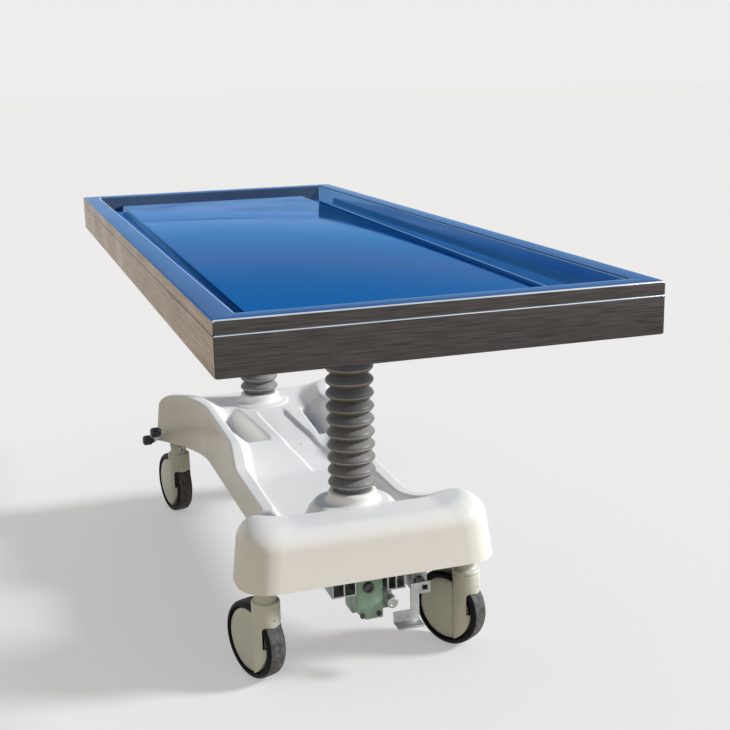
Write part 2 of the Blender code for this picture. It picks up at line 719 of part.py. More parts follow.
def make_chassis():
    reach = STEM_X + BEAM_OVERHANG
    for end, side in (("near", -1), ("far", 1)):
        y = side * STEM_Y
        low = (-reach, y - BEAM_DEPTH / 2, beam_low)
        high = (reach, y + BEAM_DEPTH / 2, beam_top)
        beam = box_tube("end_beam_" + end, low, high, BEAM_WALL, 0, "chassis_paint")
        for hand, x in (("left", -STEM_X), ("right", STEM_X)):
            name = "stem_hole_" + end + "_" + hand
            hole = rod(name, STEM_RADIUS + GAP, beam_low - BEAM_WALL, beam_top + BEAM_WALL, "chassis_paint",
                       ROUND_MEDIUM)
            hole.location = (x, y, 0)
            boolean(beam, "DIFFERENCE", cutter(hole))
        plate_y = side * COLUMN_Y
        half_x = BASE_PLATE_WIDTH / 2
        half_y = BASE_PLATE_LENGTH / 2
        low = (-half_x, plate_y - half_y, plate_low)
        high = (half_x, plate_y + half_y, plate_low + BASE_PLATE_THICKNESS)
        plate = block("column_base_" + end, low, high, "chassis_paint")
        bore = cutter(rod("column_bore_" + end, CYLINDER_RADIUS + GAP, plate_low - RAIL_WALL,
                          plate_low + BASE_PLATE_THICKNESS + RAIL_WALL, "chassis_paint", ROUND_MEDIUM))
        bore.location.y = plate_y
        boolean(plate, "DIFFERENCE", bore)
    length = STEM_Y - BEAM_DEPTH / 2 - GAP
    for hand, side in (("left", -1), ("right", 1)):
        middle = side * CHASSIS_RAIL_X
        low = (middle - CHASSIS_RAIL_WIDTH / 2, -length, beam_low)
        high = (middle + CHASSIS_RAIL_WIDTH / 2, length, beam_low + CHASSIS_RAIL_HEIGHT)
        box_tube("chassis_rail_" + hand, low, high, BEAM_WALL, 1, "chassis_paint")


def make_caster(name, fork, x, y, swivel_angle, drilled):
    """One twin-disc caster: fixed stem, swivelling fork with its axle, and the wheel."""
    flange_low_z = neck_top + GAP
    profile = [(0, beam_top + STEM_TOP), (STEM_RADIUS, beam_top + STEM_TOP),
               (STEM_RADIUS, flange_low_z + STEM_FLANGE), (NECK_RADIUS, flange_low_z + STEM_FLANGE),
               (NECK_RADIUS, flange_low_z), (STEM_RADIUS, flange_low_z), (STEM_RADIUS, stem_low),
               (0, stem_low)]
    stem = turned("caster_stem_" + name, profile, "zinc_steel", ROUND_MEDIUM)
    stem.location = (x, y, 0)
    if drilled:
        reach = 2 * STEM_RADIUS
        hole = rod("stem_cross_hole_" + name, SHAFT_FLATS / 2 / math.cos(math.pi / 6) + GAP, -reach, reach,
                   "zinc_steel", ROUND_SMALL)
        hole.location = (x, y, beam_middle)
        boolean(stem, "DIFFERENCE", lay_along_x(cutter(hole)))

    swivel = empty("swivel_" + name, (x, y, 0), (0, 0, swivel_angle))
    axle_axis = empty("axle_axis_" + name, (0, CASTER_TRAIL, axle_height), parent=swivel)
    place(bpy.data.objects.new("caster_fork_" + name, fork), parts, swivel)
    disc_face = well_half_width + DISC_THICKNESS
    axle = rod("caster_axle_" + name, AXLE_RADIUS, -disc_face, disc_face, "bright_steel", ROUND_SMALL,
               axle_axis)
    lay_along_x(axle)
    make_wheel(name, axle_axis)


def wheel_well(axle):
    """The wheel's space in a fork: round about the axle, with a square mouth in the front of the housing."""
    mouth = math.asin(SLOT_RISE / well_radius)
    points = []
    for step in range(ROUND_LARGE + 1):
        angle = math.pi + (2 * math.pi - mouth) * step / ROUND_LARGE
        points.append((well_radius * math.cos(angle), well_radius * math.sin(angle)))
    front = -well_radius - HOUSING_RADIUS
    points += [(front, SLOT_RISE), (front, 0)]
    well = outline("fork_well", points, 2 * well_half_width, "beige_plastic", axle)
    well.rotation_euler = (math.pi / 2, 0, math.pi / 2)
    return as_mesh(well)


def make_fork():
    """The mesh of a fork: a round stem housing, cut to the outline of its two discs below the axle."""
    slot = "beige_plastic"
    disc_low = axle_height - DISC_RADIUS
    shoulder = housing_top - HOUSING_BEVEL
    profile = [(0, neck_top), (NECK_RADIUS, neck_top), (NECK_RADIUS, housing_top),
               (HOUSING_RADIUS - HOUSING_BEVEL, housing_top), (HOUSING_RADIUS, shoulder),
               (HOUSING_RADIUS, disc_low), (0, disc_low)]
    fork = turned("fork_pattern", profile, slot, ROUND_MEDIUM)
    axle = empty("fork_axle", (0, CASTER_TRAIL, axle_height))

    reach = 2 * HOUSING_RADIUS
    outer = rod("fork_outline", DISC_RADIUS - GAP, -reach, reach, slot, ROUND_LARGE, axle)
    low = (-reach, -reach, axle_height + DISC_THICKNESS)
    envelope = block("fork_envelope", low, (reach, reach, neck_top + reach), slot)
    boolean(envelope, "UNION", cutter(lay_along_x(outer)))
    boolean(fork, "INTERSECT", cutter(envelope))

    disc_face = well_half_width + DISC_THICKNESS
    discs = rod("fork_discs", DISC_RADIUS, -disc_face, disc_face, slot, ROUND_LARGE, axle)
    ahead = block("fork_ahead", (-reach, -2 * DISC_RADIUS, 0), (reach, 0, neck_top), slot)
    boolean(discs, "DIFFERENCE", cutter(ahead))
    boolean(fork, "UNION", cutter(lay_along_x(discs)))

    axle_hole = rod("fork_axle_hole", AXLE_RADIUS + GAP, -reach, reach, slot, ROUND_SMALL, axle)
    socket = rod("fork_socket", STEM_RADIUS + GAP, stem_low - GAP, neck_top + reach, slot, ROUND_MEDIUM)
    boolean(fork, "DIFFERENCE", cutter(wheel_well(axle)), cutter(lay_along_x(axle_hole)), cutter(socket))
    cutter(fork)
    bpy.context.view_layer.update()
    graph = bpy.context.evaluated_depsgraph_get()
    return bpy.data.meshes.new_from_object(fork.evaluated_get(graph))


def make_wheel(name, axle_axis):
    half = TYRE_WIDTH / 2
    tread = WHEEL_RADIUS
    seat = WHEEL_RADIUS - TYRE_THICKNESS
    wall = TYRE_WIDTH * 0.24
    profile = [(seat, half), (tread - wall, half), (tread - wall * 0.3, half * 0.75), (tread, half * 0.3),
               (tread, -half * 0.3), (tread - wall * 0.3, -half * 0.75), (tread - wall, -half), (seat, -half)]
    lay_along_x(turned("caster_tyre_" + name, profile, "tyre_rubber", ROUND_LARGE, axle_axis, closed=True))
    bore = AXLE_RADIUS + GAP
    face = half - HUB_INSET
    web = WEB_THICKNESS / 2
    boss = bore + TYRE_THICKNESS * 0.4
    rim = seat - GAP
    inner_rim = rim - TYRE_THICKNESS * 0.3
    profile = [(bore, face), (boss, face), (boss, web), (inner_rim, web), (inner_rim, face), (rim, face),
               (rim, -face), (inner_rim, -face), (inner_rim, -web), (boss, -web), (boss, -face),
               (bore, -face)]
    lay_along_x(turned("caster_hub_" + name, profile, "beige_plastic", ROUND_LARGE, axle_axis, closed=True))


def make_casters():
    fork = make_fork()
    make_caster("near_left", fork, -STEM_X, -STEM_Y, SWIVEL_NEAR_LEFT, False)
    make_caster("near_right", fork, STEM_X, -STEM_Y, SWIVEL_NEAR_RIGHT, False)
    make_caster("far_left", fork, -STEM_X, STEM_Y, SWIVEL_FAR_LEFT, True)
    make_caster("far_right", fork, STEM_X, STEM_Y, SWIVEL_FAR_RIGHT, True)


def rounded_bar(first, second, half_width, steps):
    """Outline of a bar with round ends between two places on the Y axis."""
    points = []
    for centre, start in ((second, 0.0), (first, math.pi)):
        for step in range(steps + 1):
            angle = start + math.pi * step / steps
            points.append((half_width * math.cos(angle), centre + half_width * math.sin(angle)))
    return points


def make_brake():
    """Rocker pedal with two rubber rolls on a hexagonal shaft through the far caster stems."""
    axis = empty("brake_axis", (0, STEM_Y, beam_middle), (BRAKE_TILT, 0, 0))
    plate_right = -cover_half_width - ROCKER_SIDE_GAP
    plate_left = plate_right - ROCKER_THICKNESS
    corner = SHAFT_FLATS / 2 / math.cos(math.pi / 6)
    shaft = rod("brake_shaft", corner, plate_left, STEM_X + BEAM_OVERHANG, "zinc_steel", 6, axis)
    lay_along_x(shaft)
    rocker = outline("brake_pedal", rounded_bar(-LONG_ARM, SHORT_ARM, ROCKER_WIDTH / 2, 8), ROCKER_THICKNESS,
                     "zinc_steel", axis)
    rocker.location.x = (plate_left + plate_right) / 2
    rocker.rotation_euler = (0, math.pi / 2, 0)
    rocker = as_mesh(rocker)
    hole = rod("rocker_hole", corner + GAP, plate_left - RAIL_WALL, plate_right + RAIL_WALL, "zinc_steel",
               ROUND_SMALL, axis)
    boolean(rocker, "DIFFERENCE", lay_along_x(cutter(hole)))
    for pad_name, y in (("upper", -LONG_ARM), ("lower", SHORT_ARM)):
        pin = rod("pad_pin_" + pad_name, PAD_PIN_RADIUS, plate_left - PAD_LENGTH, plate_right, "zinc_steel",
                  ROUND_SMALL, axis)
        pin.location.y = y
        boolean(rocker, "UNION", lay_along_x(cutter(pin)))
        low = plate_left - GAP - PAD_LENGTH
        high = plate_left - GAP
        bore = PAD_PIN_RADIUS + GAP
        edge = PAD_RADIUS * 0.3
        profile = [(bore, high), (PAD_RADIUS - edge, high), (PAD_RADIUS, high - edge),
                   (PAD_RADIUS, low + edge), (PAD_RADIUS - edge, low), (bore, low)]
        pad = turned("brake_pad_" + pad_name, profile, "black_rubber", ROUND_MEDIUM, axis, closed=True)
        pad.location.y = y
        lay_along_x(pad)


def make_pump_rail(name, left, right, front, back):
    """A two-cell extrusion under the near end beam, open at both ends."""
    low = (left, front, pump_top - PUMP_RAIL_HEIGHT)
    high = (right, back, pump_top)
    rail = block(name, low, high, "zinc_steel")
    cell = (right - left - 3 * PUMP_RAIL_WALL) / 2
    for index in range(2):
        start = left + PUMP_RAIL_WALL + index * (cell + PUMP_RAIL_WALL)
        hollow = block(name + "_cell_" + str(index), (start, front - PUMP_RAIL_WALL, low[2] + PUMP_RAIL_WALL),
                       (start + cell, back + PUMP_RAIL_WALL, pump_top - PUMP_RAIL_WALL), "zinc_steel")
        boolean(rail, "DIFFERENCE", cutter(hollow))


def make_pump():
    body = block("pump_body", (PUMP_BODY_LEFT, pump_front, pump_top - PUMP_BODY_HEIGHT),
                 (PUMP_BODY_RIGHT, pump_back, pump_top), "zinc_steel")
    cap_front = pump_front - GAP - PUMP_CAP_DEPTH
    cap_right = PUMP_BODY_LEFT + PUMP_CAP_WIDTH
    cap_low = pump_top - PUMP_BODY_HEIGHT
    side = [(PUMP_BODY_LEFT, pump_top), (PUMP_BODY_LEFT, cap_low + PUMP_CAP_CUT),
            (PUMP_BODY_LEFT + PUMP_CAP_CUT, cap_low), (cap_right, cap_low), (cap_right, pump_top)]
    cap = outline("pump_cap", side, PUMP_CAP_DEPTH, "green_casting")
    cap.rotation_euler = (math.pi / 2, 0, 0)
    cap.location.y = cap_front + PUMP_CAP_DEPTH / 2
    cap = as_mesh(cap)
    left = PUMP_BODY_LEFT - PUMP_RAIL_LEFT_GAP
    rail_back = cap_front + PUMP_RAIL_LENGTH
    make_pump_rail("pump_rail_left", left - PUMP_RAIL_LEFT_WIDTH, left, cap_front, rail_back)
    right = cap_right + PUMP_RAIL_RIGHT_GAP
    make_pump_rail("pump_rail_right", right, right + PUMP_RAIL_RIGHT_WIDTH, cap_front, pump_front - GAP)
    return body


def make_plunger(body):
    """Spring-loaded release valve stem that is pushed in along +Y."""
    z = pump_top - PLUNGER_DROP
    axis = empty("plunger_axis", (PLUNGER_X, pump_front, z))
    cap_back = PLUNGER_CAP_LENGTH - PLUNGER_REACH
    profile = [(0, PLUNGER_SEAT), (PLUNGER_ROD_RADIUS, PLUNGER_SEAT), (PLUNGER_ROD_RADIUS, cap_back),
               (PLUNGER_CAP_RADIUS, cap_back), (PLUNGER_CAP_RADIUS, -PLUNGER_REACH), (0, -PLUNGER_REACH)]
    plunger = turned("release_plunger", profile, "zinc_steel", ROUND_MEDIUM, axis)
    lay_along_y(plunger)
    seat = rod("plunger_seat", PLUNGER_ROD_RADIUS + GAP, -PLUNGER_SEAT, 2 * PLUNGER_SEAT, "zinc_steel",
               ROUND_MEDIUM)
    seat.location = (PLUNGER_X, pump_front, z)
    boolean(body, "DIFFERENCE", lay_along_y(cutter(seat)))

    first = cap_back + GAP + SPRING_WIRE
    last = -GAP - SPRING_WIRE
    count = SPRING_TURNS * SPRING_POINTS
    points = []
    for step in range(count + 1):
        angle = 2 * math.pi * step / SPRING_POINTS
        points.append(Vector((SPRING_RADIUS * math.cos(angle), first + (last - first) * step / count,
                              SPRING_RADIUS * math.sin(angle))))
    apart = min((a - b).length for i, a in enumerate(points) for b in points[i + SPRING_POINTS // 2:])
    print("plunger_spring least gap to itself, mm:", round((apart - 2 * SPRING_WIRE) * 1000, 2))
    start_lead = points[0] + (points[0] - points[1]).normalized() * 2 * SPRING_WIRE
    end_lead = points[-1] + (points[-1] - points[-2]).normalized() * 2 * SPRING_WIRE
    start_lead.y = first
    end_lead.y = last
    tube("plunger_spring", [start_lead] + points + [end_lead], SPRING_WIRE, "bright_steel", 1, axis)


def make_pedal():
    """Bent-bar foot pedal on a square shaft along Y, carried by a bracket under the end beam."""
    z = pump_top - PEDAL_DROP
    axis = empty("pedal_axis", (PEDAL_X, 0, z))
    bracket_front = -STEM_Y - PEDAL_BRACKET_DEPTH / 2
    bracket_back = bracket_front + PEDAL_BRACKET_DEPTH
    bracket_half = PEDAL_BRACKET_WIDTH / 2
    bracket = block("pedal_bracket", (PEDAL_X - bracket_half, bracket_front, z - bracket_half),
                    (PEDAL_X + bracket_half, bracket_back, pump_top), "zinc_steel")
    corner = PEDAL_SHAFT_SIZE / math.sqrt(2)
    bore = rod("bracket_bore", corner + GAP, bracket_front - RAIL_WALL, bracket_back + RAIL_WALL, "zinc_steel",
               ROUND_MEDIUM)
    bore.location = (PEDAL_X, 0, z)
    boolean(bracket, "DIFFERENCE", lay_along_y(cutter(bore)))

    front = -STEM_Y - PEDAL_FRONT
    half = PEDAL_SHAFT_SIZE / 2
    shaft_back = front + PEDAL_SHAFT_LENGTH
    box_tube("pedal_shaft", (-half, front, -half), (half, shaft_back, half), PEDAL_SHAFT_WALL, 1,
             "zinc_steel", axis)

    hole = half + GAP
    arm_right = hole + PEDAL_SHEET
    arm_top = hole + PEDAL_SHEET
    strap_right = -PEDAL_STRAP_INSET
    strap_left = strap_right - PEDAL_STRAP_WIDTH
    low = arm_top - PEDAL_HEIGHT
    leg_left = strap_right - PEDAL_TREAD_WIDTH
    leg_top = low + PEDAL_LEG_HEIGHT
    bar = [(strap_left, arm_top), (strap_left, leg_top), (leg_left, leg_top), (leg_left, low),
           (strap_right, low), (strap_right, -arm_top), (arm_right, -arm_top), (arm_right, arm_top)]
    pedal = outline("pump_pedal", bar, PEDAL_SHEET, "zinc_steel", axis)
    pedal.rotation_euler = (math.pi / 2, 0, 0)
    pedal.location.y = front + PEDAL_SHEET / 2
    pedal = as_mesh(pedal)
    tread = block("pedal_tread", (leg_left, front - PEDAL_TREAD_DEPTH, low),
                  (strap_right, front + PEDAL_SHEET / 2, low + PEDAL_SHEET), "zinc_steel", axis)
    opening = block("pedal_hole", (-hole, front - PEDAL_SHEET, -hole), (hole, front + 2 * PEDAL_SHEET, hole),
                    "zinc_steel", axis)
    boolean(pedal, "UNION", cutter(tread))
    boolean(pedal, "DIFFERENCE", cutter(opening))


def bent_route(corners, radius, steps):
    """Points along straight runs through the corners, with each inner corner rounded."""
    route = [Vector(corners[0])]
    for before, corner, after in zip(corners, corners[1:], corners[2:]):
        corner = Vector(corner)
        enter = corner + (Vector(before) - corner).normalized() * radius
        leave = corner + (Vector(after) - corner).normalized() * radius
        for step in range(steps + 1):
            t = step / steps
            route.append(enter * (1 - t) ** 2 + corner * 2 * t * (1 - t) + leave * t ** 2)
    route.append(Vector(corners[-1]))
    return route


def make_hydraulic_line():
    """Pipe from the side of the pump, past the near column, to the far column."""
    z = beam_low - LINE_DROP
    start = (PUMP_BODY_RIGHT + GAP, (pump_front + pump_back) / 2, z)
    side = (PUMP_BODY_RIGHT + LINE_OFFSET / 2, start[1], z)
    along_side = (PUMP_BODY_RIGHT + LINE_OFFSET / 2, COLUMN_Y, z)
    end = (CYLINDER_RADIUS + GAP, COLUMN_Y, z)
    route = bent_route([start, side, along_side, end], LINE_BEND, 4)
    tube("hydraulic_line", route, LINE_RADIUS, "bright_steel", 2)


def main():
    start_scene()
    make_finishes()
    lift = empty("lift_axis", (0, 0, 0))
    make_tray(lift)
    make_panel(lift)
    make_frame(lift)
    make_columns(lift)
    make_cover()
    make_chassis()
    make_casters()
    make_brake()
    body = make_pump()
    make_plunger(body)
    make_pedal()
    make_hydraulic_line()


main()
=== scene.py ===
import json
import math

import bmesh
import bpy
from mathutils import Matrix, Vector

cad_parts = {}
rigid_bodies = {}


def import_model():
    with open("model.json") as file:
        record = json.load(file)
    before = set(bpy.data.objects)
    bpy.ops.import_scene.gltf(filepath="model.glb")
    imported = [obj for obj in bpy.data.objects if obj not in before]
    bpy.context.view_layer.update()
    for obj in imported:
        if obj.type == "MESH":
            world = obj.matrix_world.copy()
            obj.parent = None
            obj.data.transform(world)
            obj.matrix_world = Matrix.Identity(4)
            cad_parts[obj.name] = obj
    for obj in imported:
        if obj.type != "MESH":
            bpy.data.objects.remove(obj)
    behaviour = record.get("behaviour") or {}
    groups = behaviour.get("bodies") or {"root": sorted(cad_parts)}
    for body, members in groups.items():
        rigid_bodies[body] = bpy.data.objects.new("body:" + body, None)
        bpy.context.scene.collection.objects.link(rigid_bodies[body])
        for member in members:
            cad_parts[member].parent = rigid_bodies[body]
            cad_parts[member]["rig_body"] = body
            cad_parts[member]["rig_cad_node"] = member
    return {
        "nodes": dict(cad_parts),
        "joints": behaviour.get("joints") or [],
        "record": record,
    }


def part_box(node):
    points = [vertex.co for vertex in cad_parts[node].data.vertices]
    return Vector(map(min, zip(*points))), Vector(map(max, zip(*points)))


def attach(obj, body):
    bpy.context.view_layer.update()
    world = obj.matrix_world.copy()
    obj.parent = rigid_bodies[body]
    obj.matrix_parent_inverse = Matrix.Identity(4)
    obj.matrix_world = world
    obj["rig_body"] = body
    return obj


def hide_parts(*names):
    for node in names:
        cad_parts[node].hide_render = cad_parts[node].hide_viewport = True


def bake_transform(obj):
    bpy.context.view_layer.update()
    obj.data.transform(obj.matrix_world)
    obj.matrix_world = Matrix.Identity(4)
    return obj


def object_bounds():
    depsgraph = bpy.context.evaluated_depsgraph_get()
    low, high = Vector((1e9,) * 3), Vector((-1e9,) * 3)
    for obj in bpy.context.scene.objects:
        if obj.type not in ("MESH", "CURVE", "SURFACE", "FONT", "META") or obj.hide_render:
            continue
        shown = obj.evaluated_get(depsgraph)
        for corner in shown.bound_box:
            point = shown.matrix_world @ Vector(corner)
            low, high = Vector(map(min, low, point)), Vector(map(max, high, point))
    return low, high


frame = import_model()
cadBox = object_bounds()
bodyOf = {node: body for body, nodes in frame["record"]["behaviour"]["bodies"].items() for node in nodes}
jointNamed = {joint["name"]: joint for joint in frame["joints"]}
finishes = {}
print("frame loaded")


# Selecting, placing and finishing

def clearSelection():
    if bpy.context.mode != "OBJECT":
        bpy.ops.object.mode_set(mode="OBJECT")
    bpy.ops.object.select_all(action="DESELECT")


def activate(piece):
    clearSelection()
    piece.select_set(True)
    bpy.context.view_layer.objects.active = piece


def nameActive(name):
    piece = bpy.context.active_object
    piece.name = name
    piece.data.name = name
    return piece


def applyPlace(piece):
    activate(piece)
    bpy.ops.object.transform_apply(location=True, rotation=True, scale=True)
    return piece


def startEdit(piece, kind):
    activate(piece)
    bpy.ops.object.mode_set(mode="EDIT")
    bpy.ops.mesh.select_mode(type=kind)
    bpy.ops.mesh.select_all(action="DESELECT")


def pick(piece, kind, test):
    bpy.ops.mesh.select_mode(type=kind)
    bpy.ops.mesh.select_all(action="DESELECT")
    bm = bmesh.from_edit_mesh(piece.data)
    for item in {"VERT": bm.verts, "EDGE": bm.edges, "FACE": bm.faces}[kind]:
        if test(item):
            item.select_set(True)
    bmesh.update_edit_mesh(piece.data)


def pickAll():
    bpy.ops.mesh.select_all(action="SELECT")


def stopEdit():
    bpy.ops.object.mode_set(mode="OBJECT")


def applyModifiers(piece):
    activate(piece)
    for modifier in list(piece.modifiers):
        bpy.ops.object.modifier_apply(modifier=modifier.name)


def roundEdges(piece, width, steps=2, angle=32):
    modifier = piece.modifiers.new("rounding", "BEVEL")
    modifier.width = width
    modifier.segments = steps
    modifier.limit_method = "ANGLE"
    modifier.angle_limit = math.radians(angle)
    applyModifiers(piece)


def giveWall(piece, thickness):
    modifier = piece.modifiers.new("wall", "SOLIDIFY")
    modifier.thickness = thickness
    modifier.offset = -1
    modifier.use_even_offset = True
    applyModifiers(piece)


def combine(piece, tool, operation="DIFFERENCE"):
    modifier = piece.modifiers.new("combine", "BOOLEAN")
    modifier.operation = operation
    modifier.solver = "EXACT"
    modifier.object = tool
    applyModifiers(piece)
    bpy.data.objects.remove(tool, do_unlink=True)


def smoothShade(piece, angle=35):
    activate(piece)
    bpy.ops.object.shade_smooth_by_angle(angle=math.radians(angle))


def copyPiece(piece, name):
    twin = piece.copy()
    twin.data = piece.data.copy()
    twin.name = name
    twin.data.name = name
    bpy.context.scene.collection.objects.link(twin)
    return twin


def joinPieces(name, items):
    clearSelection()
    for item in items:
        item.select_set(True)
    bpy.context.view_layer.objects.active = items[0]
    bpy.ops.object.join()
    return nameActive(name)


def moveInPlace(piece, place):
    piece.matrix_world = place
    return applyPlace(piece)


def placed(spot, axis=None, quarters=1):
    place = Matrix.Translation(spot)
    return place @ Matrix.Rotation(quarters * math.pi / 2, 4, axis) if axis else place


def labelFor(words):
    return "".join(word.capitalize() for word in words.split("_"))


def settle(piece, body, finishNames, *nodes):
    if len(piece.data.materials):
        piece.data.materials.clear()
    for finish in finishNames:
        piece.data.materials.append(finishes[finish])
    if body:
        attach(piece, body)
    if nodes:
        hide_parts(*nodes)
    return piece


def paintFaces(piece, index, test):
    for face in piece.data.polygons:
        if test(face):
            face.material_index = index


# Starting shapes

def addBlock(name, low, high):
    clearSelection()
    middle = (Vector(low) + Vector(high)) / 2
    bpy.ops.mesh.primitive_cube_add(size=1, location=middle)
    piece = nameActive(name)
    piece.scale = Vector(high) - Vector(low)
    return applyPlace(piece)


def addRound(name, radius, length, middle, turn=(0, 0, 0), sides=64):
    clearSelection()
    bpy.ops.mesh.primitive_cylinder_add(vertices=sides, radius=radius, depth=length, location=middle,
                                        rotation=turn)
    return applyPlace(nameActive(name))


def spinProfile(name, points, steps=64):
    clearSelection()
    bpy.ops.mesh.primitive_plane_add(size=0.01)
    piece = nameActive(name)
    startEdit(piece, "VERT")
    pickAll()
    bpy.ops.mesh.merge(type="CENTER")
    bpy.ops.transform.translate(value=(points[0][0], 0, points[0][1]))
    for (radius, height), (nextRadius, nextHeight) in zip(points, points[1:]):
        step = (nextRadius - radius, 0, nextHeight - height)
        bpy.ops.mesh.extrude_region_move(TRANSFORM_OT_translate={"value": step})
    pickAll()
    bpy.ops.mesh.spin(steps=steps, angle=2 * math.pi, center=(0, 0, 0), axis=(0, 0, 1))
    pickAll()
    bpy.ops.mesh.remove_doubles(threshold=0.000002)
    bpy.ops.mesh.normals_make_consistent(inside=False)
    stopEdit()
    return piece


def spinInPlace(name, points, place, sides=48, angle=40):
    piece = spinProfile(name, points, sides)
    smoothShade(piece, angle)
    return moveInPlace(piece, place)


def bothSides(half):
    return half + [(radius, -height) for radius, height in reversed(half)]


def roundedCorner(centre, radius, start, end, steps=5):
    points = []
    for step in range(steps + 1):
        angle = math.radians(start + (end - start) * step / steps)
        points.append((centre[0] + radius * math.cos(angle), centre[1] + radius * math.sin(angle)))
    return points


def softCopy(node, name, width, steps=2):
    piece = frame["nodes"][node].copy()
    piece.data = piece.data.copy()
    piece.parent = None
    piece.name = name
    piece.data.name = name
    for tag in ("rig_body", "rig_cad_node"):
        del piece[tag]
    bpy.context.scene.collection.objects.link(piece)
    startEdit(piece, "VERT")
    pickAll()
    bpy.ops.mesh.remove_doubles(threshold=0.00001)
    bpy.ops.mesh.dissolve_limited(angle_limit=math.radians(1))
    stopEdit()
    roundEdges(piece, width, steps)
    smoothShade(piece)
    return piece


# Shader groups that several finishes share

def feedNode(tree, node, values):
    for label, value in values.items():
        if isinstance(value, bpy.types.NodeSocket):
            tree.links.new(value, node.inputs[label])
        else:
            node.inputs[label].default_value = value


def addNode(tree, kind, values=None, **settings):
    node = tree.nodes.new(kind)
    for key, value in settings.items():
        setattr(node, key, value)
    feedNode(tree, node, values or {})
    return node


def mixColours(tree, share, first, second):
    mix = addNode(tree, "ShaderNodeMix", {"Factor": share, "A": first, "B": second}, data_type="RGBA")
    return mix.outputs["Result"]


def spreadRange(tree, value, low, high, least=0.0, most=1.0):
    values = {"Value": value, "From Min": low, "From Max": high, "To Min": least, "To Max": most}
    return addNode(tree, "ShaderNodeMapRange", values).outputs["Result"]


def compute(tree, operation, first, second):
    return addNode(tree, "ShaderNodeMath", {0: first, 1: second}, operation=operation).outputs["Value"]


def opaque(colour):
    return (*colour, 1)


def startGroup(name, inputs, outputs):
    group = bpy.data.node_groups.new(name, "ShaderNodeTree")
    for label, kind, value in inputs:
        socket = group.interface.new_socket(name=label, in_out="INPUT", socket_type="NodeSocket" + kind)
        if value is not None:
            socket.default_value = value
    for label, kind in outputs:
        group.interface.new_socket(name=label, in_out="OUTPUT", socket_type="NodeSocket" + kind)
    return group, group.nodes.new("NodeGroupInput").outputs


def groupNoise(group, given, detail, **more):
    values = {"Vector": given["Vector"], "Scale": given["Scale"], "Detail": detail, **more}
    return addNode(group, "ShaderNodeTexNoise", values).outputs["Fac"]


def buildGroups():
    vector = ("Vector", "Vector", None)

    group, given = startGroup("twoTone", [
        vector, ("Scale", "Float", 6.0), ("Sharpness", "Float", 0.5), ("Dark", "Color", (0, 0, 0, 1)),
        ("Light", "Color", (1, 1, 1, 1))], [("Color", "Color"), ("Tone", "Float")])
    tone = spreadRange(group, groupNoise(group, given, 6, Roughness=given["Sharpness"]), 0.3, 0.7)
    colour = mixColours(group, tone, given["Dark"], given["Light"])
    addNode(group, "NodeGroupOutput", {"Color": colour, "Tone": tone})

    group, given = startGroup("smudges", [
        vector, ("Scale", "Float", 5.0), ("Clean", "Float", 0.1), ("Smeared", "Float", 0.3)], [("Value", "Float")])
    noise = groupNoise(group, given, 8, Distortion=0.6)
    smear = spreadRange(group, noise, 0.35, 0.75, given["Clean"], given["Smeared"])
    addNode(group, "NodeGroupOutput", {"Value": smear})

    # lighter where a face looks up, in patches: dust, and on the bellows, where the amount is high, painted light on
    # the upward faces of the ribs
    group, given = startGroup("settledDust", [
        vector, ("Scale", "Float", 12.0), ("Amount", "Float", 0.3), ("Color", "Color", (0, 0, 0, 1)),
        ("Dust", "Color", (0.6, 0.58, 0.55, 1))], [("Color", "Color")])
    surface = addNode(group, "ShaderNodeNewGeometry")
    split = addNode(group, "ShaderNodeSeparateXYZ", {"Vector": surface.outputs["Normal"]})
    upward = spreadRange(group, split.outputs["Z"], 0.05, 0.95)
    patch = compute(group, "MULTIPLY", groupNoise(group, given, 5), upward)
    share = compute(group, "MULTIPLY", patch, given["Amount"])
    addNode(group, "NodeGroupOutput", {"Color": mixColours(group, share, given["Color"], given["Dust"])})

    group, given = startGroup("grain", [vector, ("Scale", "Float", 300.0)], [("Height", "Float")])
    addNode(group, "NodeGroupOutput", {"Height": groupNoise(group, given, 3)})
